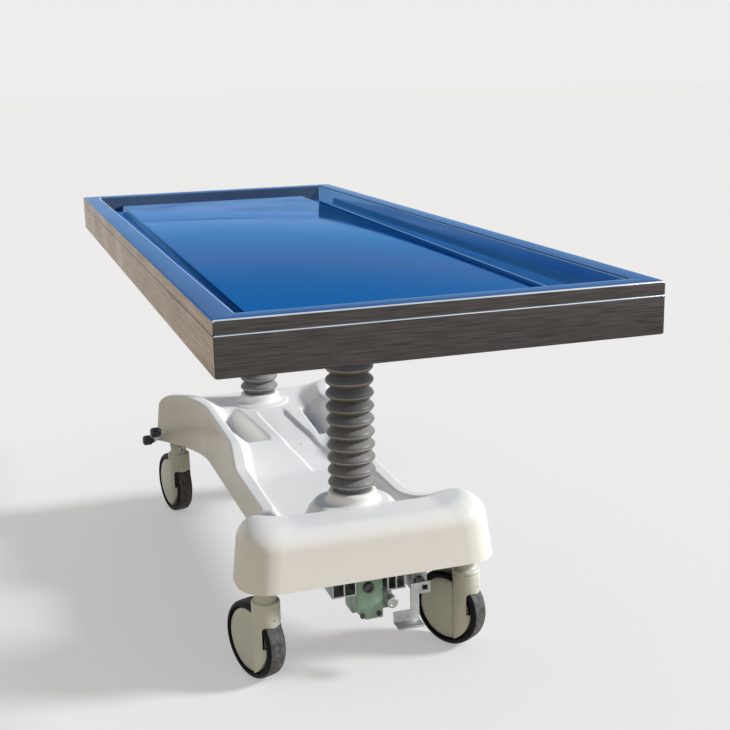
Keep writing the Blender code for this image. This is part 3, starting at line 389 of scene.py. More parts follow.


# Finishes: dark and light are the two tones of the colour, stretch draws the pattern out along an axis,
# gloss is the roughness clean and smeared, grazing the tint at a low view, and mirrored a painted
# reflection: the colour that a face glows with, though it is no lamp, where it is seen in other polished faces

polished = {"slot": "polished_steel", "metal": 1.0, "gloss": (0.06, 0.16), "bump": 0.006, "bumpScale": 9.0}
brushed = {"slot": "brushed_steel", "metal": 1.0, "toneScale": 1.0, "gloss": (0.28, 0.46), "bump": 0.05,
           "bumpScale": 1.0}
finishPlans = {
    "basinMirror": {**polished, "dark": (0.060, 0.175, 0.45), "light": (0.076, 0.205, 0.50), "toneScale": 1.6,
                    "tint": (0.32, 0.48, 0.74), "grazing": (0.02, 0.41, 0.87), "gloss": (0.04, 0.12)},
    # the basin floor: the panel's steel, glowing blue in reflections as a painted reflection
    "gutterPaintedGlow": {**polished, "dark": (0.060, 0.175, 0.45), "light": (0.076, 0.205, 0.50), "toneScale": 1.6,
                     "tint": (0.40, 0.60, 0.85), "mirrored": (0.07, 0.20, 0.36), "gloss": (0.04, 0.12)},
    "rimSteel": {**polished, "dark": (0.080, 0.175, 0.38), "light": (0.13, 0.25, 0.48), "toneScale": 3.0,
                 "tint": (0.36, 0.48, 0.70), "grazing": (0.12, 0.43, 0.83), "gloss": (0.08, 0.18),
                 "bump": 0.008, "bumpScale": 14.0},
    # painted light: a lighter copy of the basin steel for the side walls, glowing dark blue in reflections as a painted
    # reflection
    "basinWall": {**polished, "dark": (0.20, 0.32, 0.47), "light": (0.30, 0.43, 0.58), "toneScale": 2.0,
                  "tint": (0.50, 0.62, 0.80), "mirrored": (0.03, 0.10, 0.19)},
    # painted shade: a darker copy of the basin steel for the end walls and the right rim's inner bend, glowing pale
    # blue in reflections as a painted reflection
    "basinShade": {**polished, "dark": (0.035, 0.065, 0.13), "light": (0.06, 0.10, 0.18), "toneScale": 3.0,
                   "tint": (0.40, 0.50, 0.68), "mirrored": (0.44, 0.62, 0.80)},
    # painted shade: near-black steel for the panel's turned-down sides, which also glows blue in reflections as a
    # painted reflection
    "gutterShade": {**polished, "dark": (0.008, 0.018, 0.055), "light": (0.016, 0.034, 0.090), "toneScale": 4.0,
                    "tint": (0.50, 0.65, 0.85), "mirrored": (0.07, 0.20, 0.36), "gloss": (0.10, 0.20)},
    # painted highlight: near-white steel for rounded bends
    "brightBend": {"slot": "bright_steel", "metal": 1.0, "dark": (0.60, 0.65, 0.72), "light": (0.80, 0.84, 0.90),
                   "toneScale": 14.0, "gloss": (0.16, 0.30), "bump": 0.02, "bumpScale": 200.0},
    # painted reflections: one brushed steel in two colours, dark on the ends and tan on the sides, for what each side
    # reflects
    "endSkirt": {**brushed, "dark": (0.052, 0.045, 0.042), "light": (0.112, 0.100, 0.094),
                 "tint": (0.7, 0.68, 0.66), "stretch": (16.0, 420.0, 420.0)},
    "sideSkirt": {**brushed, "dark": (0.28, 0.220, 0.165), "light": (0.48, 0.40, 0.32),
                  "tint": (0.8, 0.76, 0.72), "stretch": (420.0, 16.0, 420.0)},
    "creamGloss": {"slot": "cream_plastic", "metal": 0.0, "dark": (0.86, 0.845, 0.79), "light": (0.90, 0.888, 0.84),
                   "toneScale": 2.0, "gloss": (0.30, 0.34), "bump": 0.002, "bumpScale": 700.0, "dust": 0.03},
    "beigeSatin": {"slot": "beige_plastic", "metal": 0.0, "dark": (0.63, 0.655, 0.575), "light": (0.72, 0.745, 0.675),
                   "toneScale": 12.0, "gloss": (0.36, 0.48), "bump": 0.02, "bumpScale": 700.0, "dust": 0.10},
    # the bellows' high dust amount paints light on the upper faces of the ribs, as well as dust
    "bellowsRubber": {"slot": "grey_rubber", "metal": 0.0, "dark": (0.105, 0.102, 0.096),
                      "light": (0.165, 0.162, 0.154), "toneScale": 18.0, "gloss": (0.42, 0.56), "shine": 0.35,
                      "bump": 0.05, "bumpScale": 900.0, "dust": 0.45},
    # painted highlight: a pale rubber line on the lower edge of each rib
    "bellowsPaintedHighlight": {"slot": "grey_rubber", "metal": 0.0, "dark": (0.30, 0.295, 0.28), "light": (0.44, 0.435, 0.42),
                    "toneScale": 18.0, "gloss": (0.42, 0.56), "shine": 0.35, "bump": 0.05, "bumpScale": 900.0},
    "blackRubber": {"slot": "black_rubber", "metal": 0.0, "dark": (0.010, 0.010, 0.011), "light": (0.022, 0.022, 0.024),
                    "toneScale": 40.0, "gloss": (0.22, 0.36), "bump": 0.04, "bumpScale": 900.0, "dust": 0.05},
    # painted shade: near-black for the fork's faces next to the wheel
    "forkShade": {"slot": "beige_plastic", "metal": 0.0, "dark": (0.020, 0.020, 0.019), "light": (0.040, 0.039, 0.037),
                  "toneScale": 12.0, "gloss": (0.50, 0.60), "shine": 0.15, "bump": 0.02, "bumpScale": 700.0},
    "tyreTread": {"slot": "tyre_rubber", "metal": 0.0, "dark": (0.050, 0.049, 0.048), "light": (0.150, 0.147, 0.143),
                  "toneScale": 90.0, "gloss": (0.50, 0.64), "shine": 0.2, "bump": 0.08, "bumpScale": 500.0},
    "tyreRubber": {"slot": "tyre_rubber", "metal": 0.0, "dark": (0.004, 0.004, 0.005), "light": (0.010, 0.010, 0.011),
                   "toneScale": 30.0, "gloss": (0.40, 0.54), "shine": 0.12, "bump": 0.05, "bumpScale": 800.0},
    "zincPlate": {"slot": "zinc_steel", "metal": 1.0, "dark": (0.34, 0.35, 0.33), "light": (0.50, 0.51, 0.485),
                  "toneScale": 45.0, "gloss": (0.38, 0.56), "bump": 0.03, "bumpScale": 320.0, "dust": 0.12},
    "brightSteel": {"slot": "bright_steel", "metal": 1.0, "dark": (0.62, 0.63, 0.65), "light": (0.80, 0.81, 0.83),
                    "toneScale": 1.0, "stretch": (40.0, 40.0, 400.0), "gloss": (0.12, 0.24), "bump": 0.02,
                    "bumpScale": 1.0},
    "greenCasting": {"slot": "green_casting", "metal": 0.0, "dark": (0.24, 0.42, 0.35), "light": (0.37, 0.57, 0.49),
                     "toneScale": 60.0, "gloss": (0.36, 0.52), "bump": 0.10, "bumpScale": 500.0, "dust": 0.20},
    "chassisPaint": {"slot": "chassis_paint", "metal": 0.0, "dark": (0.085, 0.085, 0.09), "light": (0.13, 0.13, 0.137),
                     "toneScale": 25.0, "gloss": (0.38, 0.52), "bump": 0.04, "bumpScale": 600.0, "dust": 0.25},
    # dark steel for fasteners, also used as painted shade in the groove under the lip
    "darkFastenerAndGrooveShade": {"slot": "zinc_steel", "metal": 1.0, "dark": (0.05, 0.05, 0.052), "light": (0.11, 0.11, 0.115),
                     "toneScale": 80.0, "gloss": (0.35, 0.5), "bump": 0.03, "bumpScale": 900.0},
}


# Share of a low view, one less the cosine, at which a polished finish turns from its tint to its grazing tint
lowView = {"start": 0.81, "full": 0.895, "evenBlend": 0.5}
grainDepth = 0.002


def useGroup(tree, name, **values):
    node = addNode(tree, "ShaderNodeGroup", node_tree=bpy.data.node_groups[name])
    feedNode(tree, node, values)
    return node.outputs[0]


def buildFinish(name, plan):
    material = bpy.data.materials.new(name)
    material.use_nodes = True
    tree = material.node_tree
    shader = tree.nodes["Principled BSDF"]
    feedNode(tree, shader, {"Metallic": plan["metal"], "Specular IOR Level": plan.get("shine", 0.5)})
    if "tint" in plan:
        feedNode(tree, shader, {"Specular Tint": opaque(plan["tint"])})
    if "grazing" in plan:
        facing = addNode(tree, "ShaderNodeLayerWeight", {"Blend": lowView["evenBlend"]}).outputs["Facing"]
        low = spreadRange(tree, facing, lowView["start"], lowView["full"])
        tint = mixColours(tree, low, opaque(plan["tint"]), opaque(plan["grazing"]))
        feedNode(tree, shader, {"Specular Tint": tint})
    place = addNode(tree, "ShaderNodeTexCoord").outputs["Object"]
    drawn = place
    if "stretch" in plan:
        drawn = addNode(tree, "ShaderNodeMapping", {"Vector": place, "Scale": plan["stretch"]}).outputs["Vector"]
    colour = useGroup(tree, "twoTone", Vector=drawn, Scale=plan["toneScale"], Dark=opaque(plan["dark"]),
                      Light=opaque(plan["light"]))
    if "dust" in plan:
        colour = useGroup(tree, "settledDust", Vector=place, Amount=plan["dust"], Color=colour)
    # painted reflection: for glossy rays the face turns black and glows with the given colour
    if "mirrored" in plan:
        glossy = addNode(tree, "ShaderNodeLightPath").outputs["Is Glossy Ray"]
        colour = mixColours(tree, glossy, colour, (0, 0, 0, 1))
        feedNode(tree, shader, {"Emission Color": opaque(plan["mirrored"]), "Emission Strength": glossy})
    clean, smeared = plan["gloss"]
    grain = useGroup(tree, "grain", Vector=drawn, Scale=plan["bumpScale"])
    bump = addNode(tree, "ShaderNodeBump", {"Height": grain, "Strength": plan["bump"], "Distance": grainDepth})
    feedNode(tree, shader, {
        "Base Color": colour, "Roughness": useGroup(tree, "smudges", Vector=place, Clean=clean, Smeared=smeared),
        "Normal": bump.outputs["Normal"]})
    finishes[name] = material


buildGroups()
for finishName, finishPlan in finishPlans.items():
    buildFinish(finishName, finishPlan)
print("finishes made:", len(finishes))


# Basin of polished sheet, with its rim and folded lip

tray = {"rim": 0.0435, "lip": 0.022, "sheet": 0.0015, "depthNear": 0.065, "depthFar": 0.045, "bend": 0.0035,
        "bendSteps": 4, "bendMargin": 0.0042, "drainRadius": 0.018, "drainInset": 0.055, "drainCut": 0.05}
trayFinishes = ("gutterPaintedGlow", "brightBend", "endSkirt", "sideSkirt", "rimSteel", "basinWall", "basinShade")
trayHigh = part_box("tray_basin")[1]
basinHalfX = trayHigh.x - tray["rim"]
basinHalfY = trayHigh.y - tray["rim"]
drainY = tray["drainInset"] - basinHalfY


def basinFloor(y):
    share = (y + basinHalfY) / (2 * basinHalfY)
    return trayHigh.z - tray["depthNear"] + (tray["depthNear"] - tray["depthFar"]) * share


def sheetPlane(name, halfX, near, far, heightAt):
    clearSelection()
    bpy.ops.mesh.primitive_plane_add(size=2, location=(0, (near + far) / 2, 0))
    sheet = nameActive(name)
    sheet.scale = (halfX, (far - near) / 2, 1)
    applyPlace(sheet)
    startEdit(sheet, "VERT")
    for end in (near, far):
        pick(sheet, "VERT", lambda vert: abs(vert.co.y - end) < 0.001)
        bpy.ops.transform.translate(value=(0, 0, heightAt(end)))
    return sheet


def faceUp(sheet):
    largest = max(sheet.data.polygons, key=lambda face: face.area)
    if largest.normal.z < 0:
        startEdit(sheet, "FACE")
        pickAll()
        bpy.ops.mesh.flip_normals()
        stopEdit()


def buildTray():
    basin = sheetPlane("trayBasin", basinHalfX, -basinHalfY, basinHalfY, basinFloor)
    pick(basin, "EDGE", lambda edge: edge.is_boundary)
    bpy.ops.mesh.extrude_region_move()
    bpy.ops.transform.resize(value=(1, 1, 0), center_override=(0, 0, trayHigh.z))
    bpy.ops.mesh.extrude_region_move()
    outward = (trayHigh.x / basinHalfX, trayHigh.y / basinHalfY, 1)
    bpy.ops.transform.resize(value=outward, center_override=(0, 0, trayHigh.z))
    bpy.ops.mesh.extrude_region_move(TRANSFORM_OT_translate={"value": (0, 0, -tray["lip"])})
    pickAll()
    bpy.ops.mesh.normals_make_consistent(inside=False)
    pick(basin, "EDGE", lambda edge: not edge.is_boundary)
    bpy.ops.mesh.bevel(offset=tray["bend"], segments=tray["bendSteps"], affect="EDGES")
    stopEdit()
    faceUp(basin)
    giveWall(basin, tray["sheet"])
    combine(basin, addRound("drainCut", tray["drainRadius"], tray["drainCut"], (0, drainY, basinFloor(drainY))))
    smoothShade(basin, 40)
    settle(basin, "table_top", trayFinishes, "tray_basin")
    for face in basin.data.polygons:
        face.material_index = trayFinishes.index(trayFinish(face.center, face.normal))


def trayFinish(centre, normal):
    outer = max(abs(centre.x) - trayHigh.x, abs(centre.y) - trayHigh.y) > -tray["bendMargin"]
    inner = max(abs(centre.x) - basinHalfX, abs(centre.y) - basinHalfY) < tray["bendMargin"]
    facesEnd = abs(normal.y) > abs(normal.x)
    # lip: brushed steel with painted reflections, dark on the ends and tan on the sides
    if outer and normal.z < 0.25:  # folded lip
        return "endSkirt" if facesEnd else "sideSkirt"
    # outer bend: a painted highlight on the ends, basin steel on the sides
    if outer and normal.z < 0.97:  # bend between rim and lip
        return "brightBend" if facesEnd else "rimSteel"
    if normal.z > 0.995 and not inner:
        return "rimSteel"
    # the inner bend is a painted highlight on the left rim and painted shade on the right rim
    if normal.z > 0.3 and centre.z > trayHigh.z - tray["bendMargin"]:  # bend between rim and wall
        return "brightBend" if normal.x > 0.1 else "basinShade" if normal.x < -0.1 else "rimSteel"
    # side walls take the painted lighter copy, end walls the painted shaded copy
    if abs(normal.z) < 0.6 and inner:
        return "basinWall" if abs(normal.x) > abs(normal.y) else "basinShade"
    return "gutterPaintedGlow"


# Raised panel that the body lies on

panel = {"draw": 0.013, "rise": 0.020, "sheet": 0.0015, "seat": 0.0022, "bend": 0.005, "bendSteps": 5,
         "shadedLeft": 0.7, "shadedRight": 0.97}


def buildPanel():
    low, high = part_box("drain_panel")
    halfX = high.x - panel["draw"]
    sheet = sheetPlane("bodyPanel", halfX, low.y, high.y, lambda y: basinFloor(y) + panel["rise"])
    pick(sheet, "EDGE", lambda edge: edge.is_boundary)
    bpy.ops.mesh.extrude_region_move(TRANSFORM_OT_translate={"value": (0, 0, panel["seat"] - panel["rise"])})
    pickAll()
    bpy.ops.mesh.normals_make_consistent(inside=False)
    pick(sheet, "EDGE", lambda edge: not edge.is_boundary)
    bpy.ops.mesh.bevel(offset=panel["bend"], segments=panel["bendSteps"], affect="EDGES")
    stopEdit()
    faceUp(sheet)
    giveWall(sheet, panel["sheet"])
    smoothShade(sheet, 40)
    settle(sheet, "table_top", ("basinMirror", "gutterShade"), "drain_panel")
    # the panel's turned-down sides are painted dark as painted shade, with more of the bend painted on the right
    paintFaces(sheet, 1, lambda face: face.normal.z < panel["shadedRight" if face.normal.x > 0 else "shadedLeft"])


# Strainer and spout of the drain

strainer = {"flange": 0.027, "dish": 0.016, "depth": 0.004, "proud": 0.0012, "sheet": 0.001, "seat": 0.0002,
            "holes": 8, "holeRadius": 0.0024, "holeRing": 0.010, "holeCut": 0.01}
spout = {"wall": 0.004, "bead": 0.0015}


def buildStrainer():
    dish, flange, depth, proud, sheet, seat = (
        strainer[key] for key in ("dish", "flange", "depth", "proud", "sheet", "seat"))
    points = [(0, -depth), (dish, -depth), (dish + 0.001, 0), (dish + 0.003, proud), (flange - 0.002, proud),
              (flange, seat), (dish + 0.002, seat), (dish + 0.0008, -0.0006), (dish + 0.0008, -depth - sheet),
              (0, -depth - sheet)]
    grate = spinProfile("drainStrainer", points, 48)
    for index in range(strainer["holes"]):
        angle = 2 * math.pi * index / strainer["holes"]
        middle = (strainer["holeRing"] * math.cos(angle), strainer["holeRing"] * math.sin(angle), -depth)
        combine(grate, addRound("strainerCut", strainer["holeRadius"], strainer["holeCut"], middle, sides=20))
    smoothShade(grate)
    moveInPlace(grate, placed((0, drainY, basinFloor(drainY))))
    settle(grate, "table_top", ("brightSteel",))


def buildSpout():
    low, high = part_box("drain_spout")
    radius = tray["drainRadius"]
    outer = (high.x - low.x) / 2
    wall = radius + spout["wall"]
    bead = wall + spout["bead"]
    points = [(radius, high.z), (outer, high.z), (outer, high.z - 0.003), (wall + 0.002, high.z - 0.0045),
              (wall, high.z - 0.007), (wall, low.z + 0.010), (bead, low.z + 0.008), (bead, low.z + 0.003),
              (wall, low.z + 0.001), (wall - 0.001, low.z), (radius, low.z), (radius, high.z)]
    piece = spinInPlace("drainSpout", points, placed((0, (low.y + high.y) / 2, 0)), 48, 35)
    settle(piece, "table_top", ("brightSteel",), "drain_spout")


# Box frame under the rim, mitred at its corners

rail = {"round": 0.0026, "steps": 3, "joint": 0.0001}


def buildRail(node, name, finish, alongY):
    low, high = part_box(node)
    piece = addBlock(name, low, high)
    startEdit(piece, "FACE")
    middle = (low + high) / 2
    for end in (-1, 1):
        if alongY:
            side = math.copysign(1, middle.x)
            away = Vector((-side, end, 0)).normalized()
            corner = Vector((side * cadBox[1].x, end * high.y, 0))
        else:
            side = math.copysign(1, middle.y)
            away = Vector((end, -side, 0)).normalized()
            corner = Vector((end * high.x, side * cadBox[1].y, 0))
        pickAll()
        bpy.ops.mesh.bisect(plane_co=corner - away * rail["joint"], plane_no=away, use_fill=True,
                            clear_outer=True)
    pickAll()
    bpy.ops.mesh.normals_make_consistent(inside=False)
    bpy.ops.mesh.bevel(offset=rail["round"], segments=rail["steps"], affect="EDGES")
    stopEdit()
    smoothShade(piece, 40)
    settle(piece, "table_top", (finish, "darkFastenerAndGrooveShade" if alongY else "brightBend"), node)
    # the rounding under the lip is painted dark along the sides, as painted shade in the groove, and bright at the
    # ends, as a painted highlight
    paintFaces(piece, 1, lambda face: face.center.z > high.z - rail["round"] and 0.1 < face.normal.z < 0.98)


buildTray()
buildPanel()
buildStrainer()
buildSpout()
for railNode, railName, railFinish, runsAlongY in (
        ("frame_rail_left", "skirtLeft", "sideSkirt", True), ("frame_rail_right", "skirtRight", "sideSkirt", True),
        ("frame_end_near", "skirtNear", "endSkirt", False), ("frame_end_far", "skirtFar", "endSkirt", False)):
    buildRail(railNode, railName, railFinish, runsAlongY)
print("table top made")


# Ribbed rubber sleeves; on the table they fold as it goes down, here they are built once and stay as they are

bellows = {"ribs": 14, "crest": 0.0488, "valleyHigh": 0.0360, "valleyLow": 0.0375, "bore": 0.0352, "cuff": 0.004,
           "lowCuffWall": 0.003, "highCuffWall": 0.004, "cuffEdge": 0.001, "ribSteps": 14, "fullness": 1.12,
           "stretch": 0.060, "edge": 0.90, "sides": 72}


def bellowsProfile(low, high):
    span = high - low - 2 * bellows["cuff"]
    heights = []
    for rib in range(bellows["ribs"] + 1):
        share = rib / bellows["ribs"]
        heights.append(low + bellows["cuff"] + span * (share + bellows["stretch"] * share * (share - 1)))
    lowCuff = bellows["valleyLow"] + bellows["lowCuffWall"]
    highCuff = bellows["valleyHigh"] + bellows["highCuffWall"]
    points = [(lowCuff, low), (lowCuff, heights[0] - bellows["cuffEdge"])]
    for rib in range(bellows["ribs"]):
        share = rib / (bellows["ribs"] - 1)
        valley = bellows["valleyLow"] + (bellows["valleyHigh"] - bellows["valleyLow"]) * share
        for step in range(bellows["ribSteps"]):
            turn = 0.5 - 0.5 * math.cos(math.pi * step / bellows["ribSteps"])
            swell = math.sin(math.pi * turn) ** bellows["fullness"]
            height = heights[rib] + (heights[rib + 1] - heights[rib]) * turn
            points.append((valley + (bellows["crest"] - valley) * swell, height))
    points += [(bellows["valleyHigh"], heights[-1]), (highCuff, heights[-1] + bellows["cuffEdge"]),
               (highCuff, high), (bellows["bore"], high), (bellows["bore"], low), points[0]]
    return points


def buildBellows(node, name):
    low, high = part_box(node)
    column = (low.y + high.y) / 2
    profile = bellowsProfile(low.z, high.z)
    sleeve = spinInPlace(name, profile, placed((0, column, 0)), bellows["sides"], 60)
    settle(sleeve, None, ("bellowsRubber", "bellowsPaintedHighlight"), node)
    # the lower edge of each rib is painted pale, as a painted highlight
    pale = bellows["valleyLow"] + (bellows["crest"] - bellows["valleyLow"]) * bellows["edge"]

    def paintedHighlightEdge(face):
        return face.normal.z < 0 and math.hypot(face.center.x, face.center.y - column) > pale

    paintFaces(sleeve, 1, paintedHighlightEdge)
    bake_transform(sleeve)


collar = {"bore": 0.0376, "round": 0.006, "draw": 0.0025, "flare": 0.011, "flareRise": 0.011, "steps": 8,
          "chamfer": 0.001, "sides": 72}


def buildCollar(node, name):
    low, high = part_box(node)
    outer = (high.x - low.x) / 2
    bend = collar["round"]
    side = outer - collar["draw"]
    points = [(collar["bore"], low.z)]
    for step in range(collar["steps"] + 1):
        angle = math.pi / 2 * step / collar["steps"]
        points.append((side + collar["flare"] * (1 - math.sin(angle)),
                       low.z + collar["flareRise"] * (1 - math.cos(angle))))
    points += roundedCorner((side - bend, high.z - bend), bend, 0, 90)
    points += [(collar["bore"] + collar["chamfer"], high.z), (collar["bore"], high.z - collar["chamfer"]), points[0]]
    ring = spinInPlace(name, points, placed((0, (low.y + high.y) / 2, 0)), collar["sides"])
    settle(ring, "base", ("creamGloss",), node)


for end in ("near", "far"):
    buildBellows("bellows_" + end, "bellows" + end.capitalize())
    buildCollar("bellows_collar_" + end, "bellowsCollar" + end.capitalize())
print("columns made")


# Moulded cover of the base: heights above its lower edge, along its length

coverLow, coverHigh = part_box("base_cover")
coverEnd = coverHigh.y
columnY = (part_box("bellows_far")[0].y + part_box("bellows_far")[1].y) / 2
cover = {"wall": 0.004, "halfWidth": 0.265, "waist": 0.168, "waistStart": 0.270, "farFull": 0.515, "nearFull": 0.465,
         "farCorner": 0.050, "nearCorner": 0.066, "endRound": 0.040, "endLean": 0.010, "roundSteps": 8, "wallSteps": 4,
         "valley": 0.045, "block": 0.112, "farCrest": 0.137, "nearCrest": 0.070, "cornerCrest": 0.121, "stepY": -0.030,
         "plateau": 0.107, "dome": 0.112, "domeFlat": 0.072, "nearDomeFoot": 0.150, "farDomeFoot": 0.106,
         "across": 110, "along": 300, "columnHole": 0.0372, "dot": (0.0171, 0.0635), "dotRadius": 0.0032,
         "cutDepth": 0.1, "endStart": 0.30}
# The two pits beside the far column, left and right: their inner edges spread apart as they go back
pits = {-1: {"depth": 0.044, "inner": 0.047, "spread": 0.07, "innerWall": 0.026, "bottom": 0.092, "outerSlope": 0.058,
             "near": 0.082, "nearWall": 0.012, "far": 0.375, "farSlope": 0.045},
        1: {"depth": 0.040, "inner": 0.066, "spread": 0.06, "innerWall": 0.022, "bottom": 0.100, "outerSlope": 0.050,
            "near": 0.082, "nearWall": 0.012, "far": 0.320, "farSlope": 0.050}}
recess = {"depth": 0.007, "edge": 0.008, "width": 0.078, "near": -0.036, "nearRamp": 0.012, "far": 0.33,
          "farRamp": 0.06}


def easeStep(value):
    value = min(max(value, 0.0), 1.0)
    return value * value * (3 - 2 * value)


def crispStep(value, blend=0.25):
    value = min(max(value, 0.0), 1.0)
    if value < blend:
        return value * value / (2 * blend * (1 - blend))
    if value > 1 - blend:
        return 1 - (1 - value) ** 2 / (2 * blend * (1 - blend))
    return (value - blend / 2) / (1 - blend)


# Smooth curve through stations of (y, value)
def throughStations(stations, y):
    if y <= stations[0][0]:
        return stations[0][1]
    if y >= stations[-1][0]:
        return stations[-1][1]
    index = max(i for i in range(len(stations) - 1) if stations[i][0] <= y)
    (y0, v0), (y1, v1) = stations[index], stations[index + 1]
    before = stations[max(index - 1, 0)]
    after = stations[min(index + 2, len(stations) - 1)]
    slope0 = (v1 - before[1]) / (y1 - before[0])
    slope1 = (after[1] - v0) / (after[0] - y0)
    span = y1 - y0
    t = (y - y0) / span
    return ((2 * t ** 3 - 3 * t ** 2 + 1) * v0 + (t ** 3 - 2 * t ** 2 + t) * span * slope0
            + (3 * t ** 2 - 2 * t ** 3) * v1 + (t ** 3 - t ** 2) * span * slope1)


# Along the length: height in the middle and at the crests, radius of the side edges and lean of the walls, share of
# the half width at which a crest starts and ends, and the left edge of the recess
coverValley = [(-coverEnd, cover["block"] - 0.010), (0.06 - coverEnd, cover["block"]),
               (-columnY - 0.04, cover["block"] - 0.002), (-columnY + 0.03, 0.072),
               (-columnY + 0.08, cover["valley"]), (cover["stepY"] - 0.05, cover["valley"]),
               (cover["stepY"], cover["valley"] + 0.005), (cover["stepY"] + 0.06, cover["plateau"] - 0.027),
               (cover["stepY"] + 0.12, cover["plateau"] - 0.004), (0.15, cover["plateau"]),
               (0.25, cover["plateau"] + 0.001), (columnY - 0.03, cover["plateau"] + 0.001),
               (columnY + 0.03, cover["block"] - 0.003), (coverEnd - 0.06, cover["block"] - 0.002),
               (coverEnd, cover["block"] - 0.010)]
coverCrest = [(-coverEnd, cover["cornerCrest"] - 0.012), (0.06 - coverEnd, cover["cornerCrest"]),
              (-columnY - 0.03, cover["cornerCrest"] - 0.004), (-columnY + 0.05, cover["nearCrest"] + 0.010),
              (-columnY + 0.11, cover["nearCrest"] + 0.002), (-0.10, cover["nearCrest"] + 0.003),
              (cover["stepY"] - 0.015, cover["nearCrest"] + 0.005), (cover["stepY"], cover["nearCrest"] + 0.011),
              (cover["stepY"] + 0.03, cover["farCrest"] - 0.018), (cover["stepY"] + 0.06, cover["farCrest"] - 0.008),
              (0.08, cover["farCrest"] - 0.005), (0.20, cover["farCrest"] - 0.002),
              (columnY, cover["farCrest"] + 0.001), (coverEnd - 0.07, cover["farCrest"] - 0.010),
              (coverEnd, cover["cornerCrest"] - 0.008)]
sideRound = [(-coverEnd, 0.040), (-0.46, 0.038), (-0.38, 0.018), (-0.30, 0.008), (-0.20, 0.007), (0.20, 0.007),
             (0.30, 0.008), (0.40, 0.014), (0.48, 0.034), (coverEnd, 0.040)]
sideLean = [(-coverEnd, 0.010), (-0.44, 0.010), (-0.34, 0.004), (0.34, 0.003), (0.46, 0.008), (coverEnd, 0.010)]
crestFoot = [(-0.45, 0.52), (-0.36, 0.64), (-0.28, 0.69), (-0.02, 0.69), (0.06, 0.62), (0.30, 0.60), (0.42, 0.52)]
crestTop = [(-0.45, 0.84), (-0.36, 0.82), (-0.28, 0.825), (-0.02, 0.825), (0.06, 0.88), (0.30, 0.86), (0.42, 0.84)]
recessLeft = [(-0.03, 0.020), (0.0, 0.008), (0.03, -0.006), (0.062, -0.019), (0.14, -0.030), (0.30, -0.034)]


def coverWidth(y):
    distance = abs(y)
    near = y < 0
    full, corner = (cover["nearFull"], cover["nearCorner"]) if near else (cover["farFull"], cover["farCorner"])
    spread = min(max((distance - cover["waistStart"]) / (full - cover["waistStart"]), 0.0), 1.0)
    spread = easeStep(spread) if near else spread ** 2
    width = cover["waist"] + (cover["halfWidth"] - cover["waist"]) * spread
    intoCorner = min(max(distance - (coverEnd - corner), 0.0), corner)
    arc = cover["halfWidth"] - corner + math.sqrt(corner ** 2 - intoCorner ** 2)
    return min(width, arc)


def coverHeight(x, y):
    share = abs(x) / coverWidth(y)
    foot = throughStations(crestFoot, y)
    rise = crispStep((share - foot) / (throughStations(crestTop, y) - foot))
    valley = throughStations(coverValley, y)
    height = valley + (throughStations(coverCrest, y) - valley) * rise
    pit = pits[1 if x > 0 else -1]
    hollow = crispStep((abs(x) - pit["inner"] - pit["spread"] * (y - pit["near"])) / pit["innerWall"])
    hollow *= 1 - crispStep((abs(x) - pit["bottom"]) / pit["outerSlope"])
    hollow *= crispStep((y - pit["near"]) / pit["nearWall"])
    hollow *= 1 - easeStep((y - pit["far"] + pit["farSlope"]) / pit["farSlope"])
    height -= pit["depth"] * hollow
    left = throughStations(recessLeft, y)
    sunk = crispStep((x - left) / recess["edge"]) * crispStep((left + recess["width"] - x) / recess["edge"])
    sunk *= crispStep((y - recess["near"]) / recess["nearRamp"]) * easeStep((recess["far"] - y) / recess["farRamp"])
    height -= recess["depth"] * sunk
    for column, foot in ((-columnY, cover["nearDomeFoot"]), (columnY, cover["farDomeFoot"])):
        distance = math.hypot(x, y - column)
        fall = easeStep((distance - cover["domeFlat"]) / (foot - cover["domeFlat"]))
        height = cover["dome"] if distance < cover["domeFlat"] else max(height, cover["dome"] * (1 - fall))
    return height


def coverPlan(across, along, turn, fall):
    side = throughStations(sideRound, along) * turn + throughStations(sideLean, along) * (1 - fall)
    end = cover["endRound"] * turn + cover["endLean"] * (1 - fall)
    end *= easeStep((abs(along) - cover["endStart"]) / (coverEnd - cover["endStart"]))
    return across * (coverWidth(along) - side), along - math.copysign(end, along)


# Rows of the edge: how far each has turned in, dropped and gone down the wall
def coverRings():
    rings = [(1.0, 0.0, 0.0)]
    for step in range(1, cover["roundSteps"] + 1):
        angle = math.pi / 2 * step / cover["roundSteps"]
        rings.append((1 - math.sin(angle), 1 - math.cos(angle), 0.0))
    return rings + [(0.0, 1.0, (step + 1) / cover["wallSteps"]) for step in range(cover["wallSteps"])]


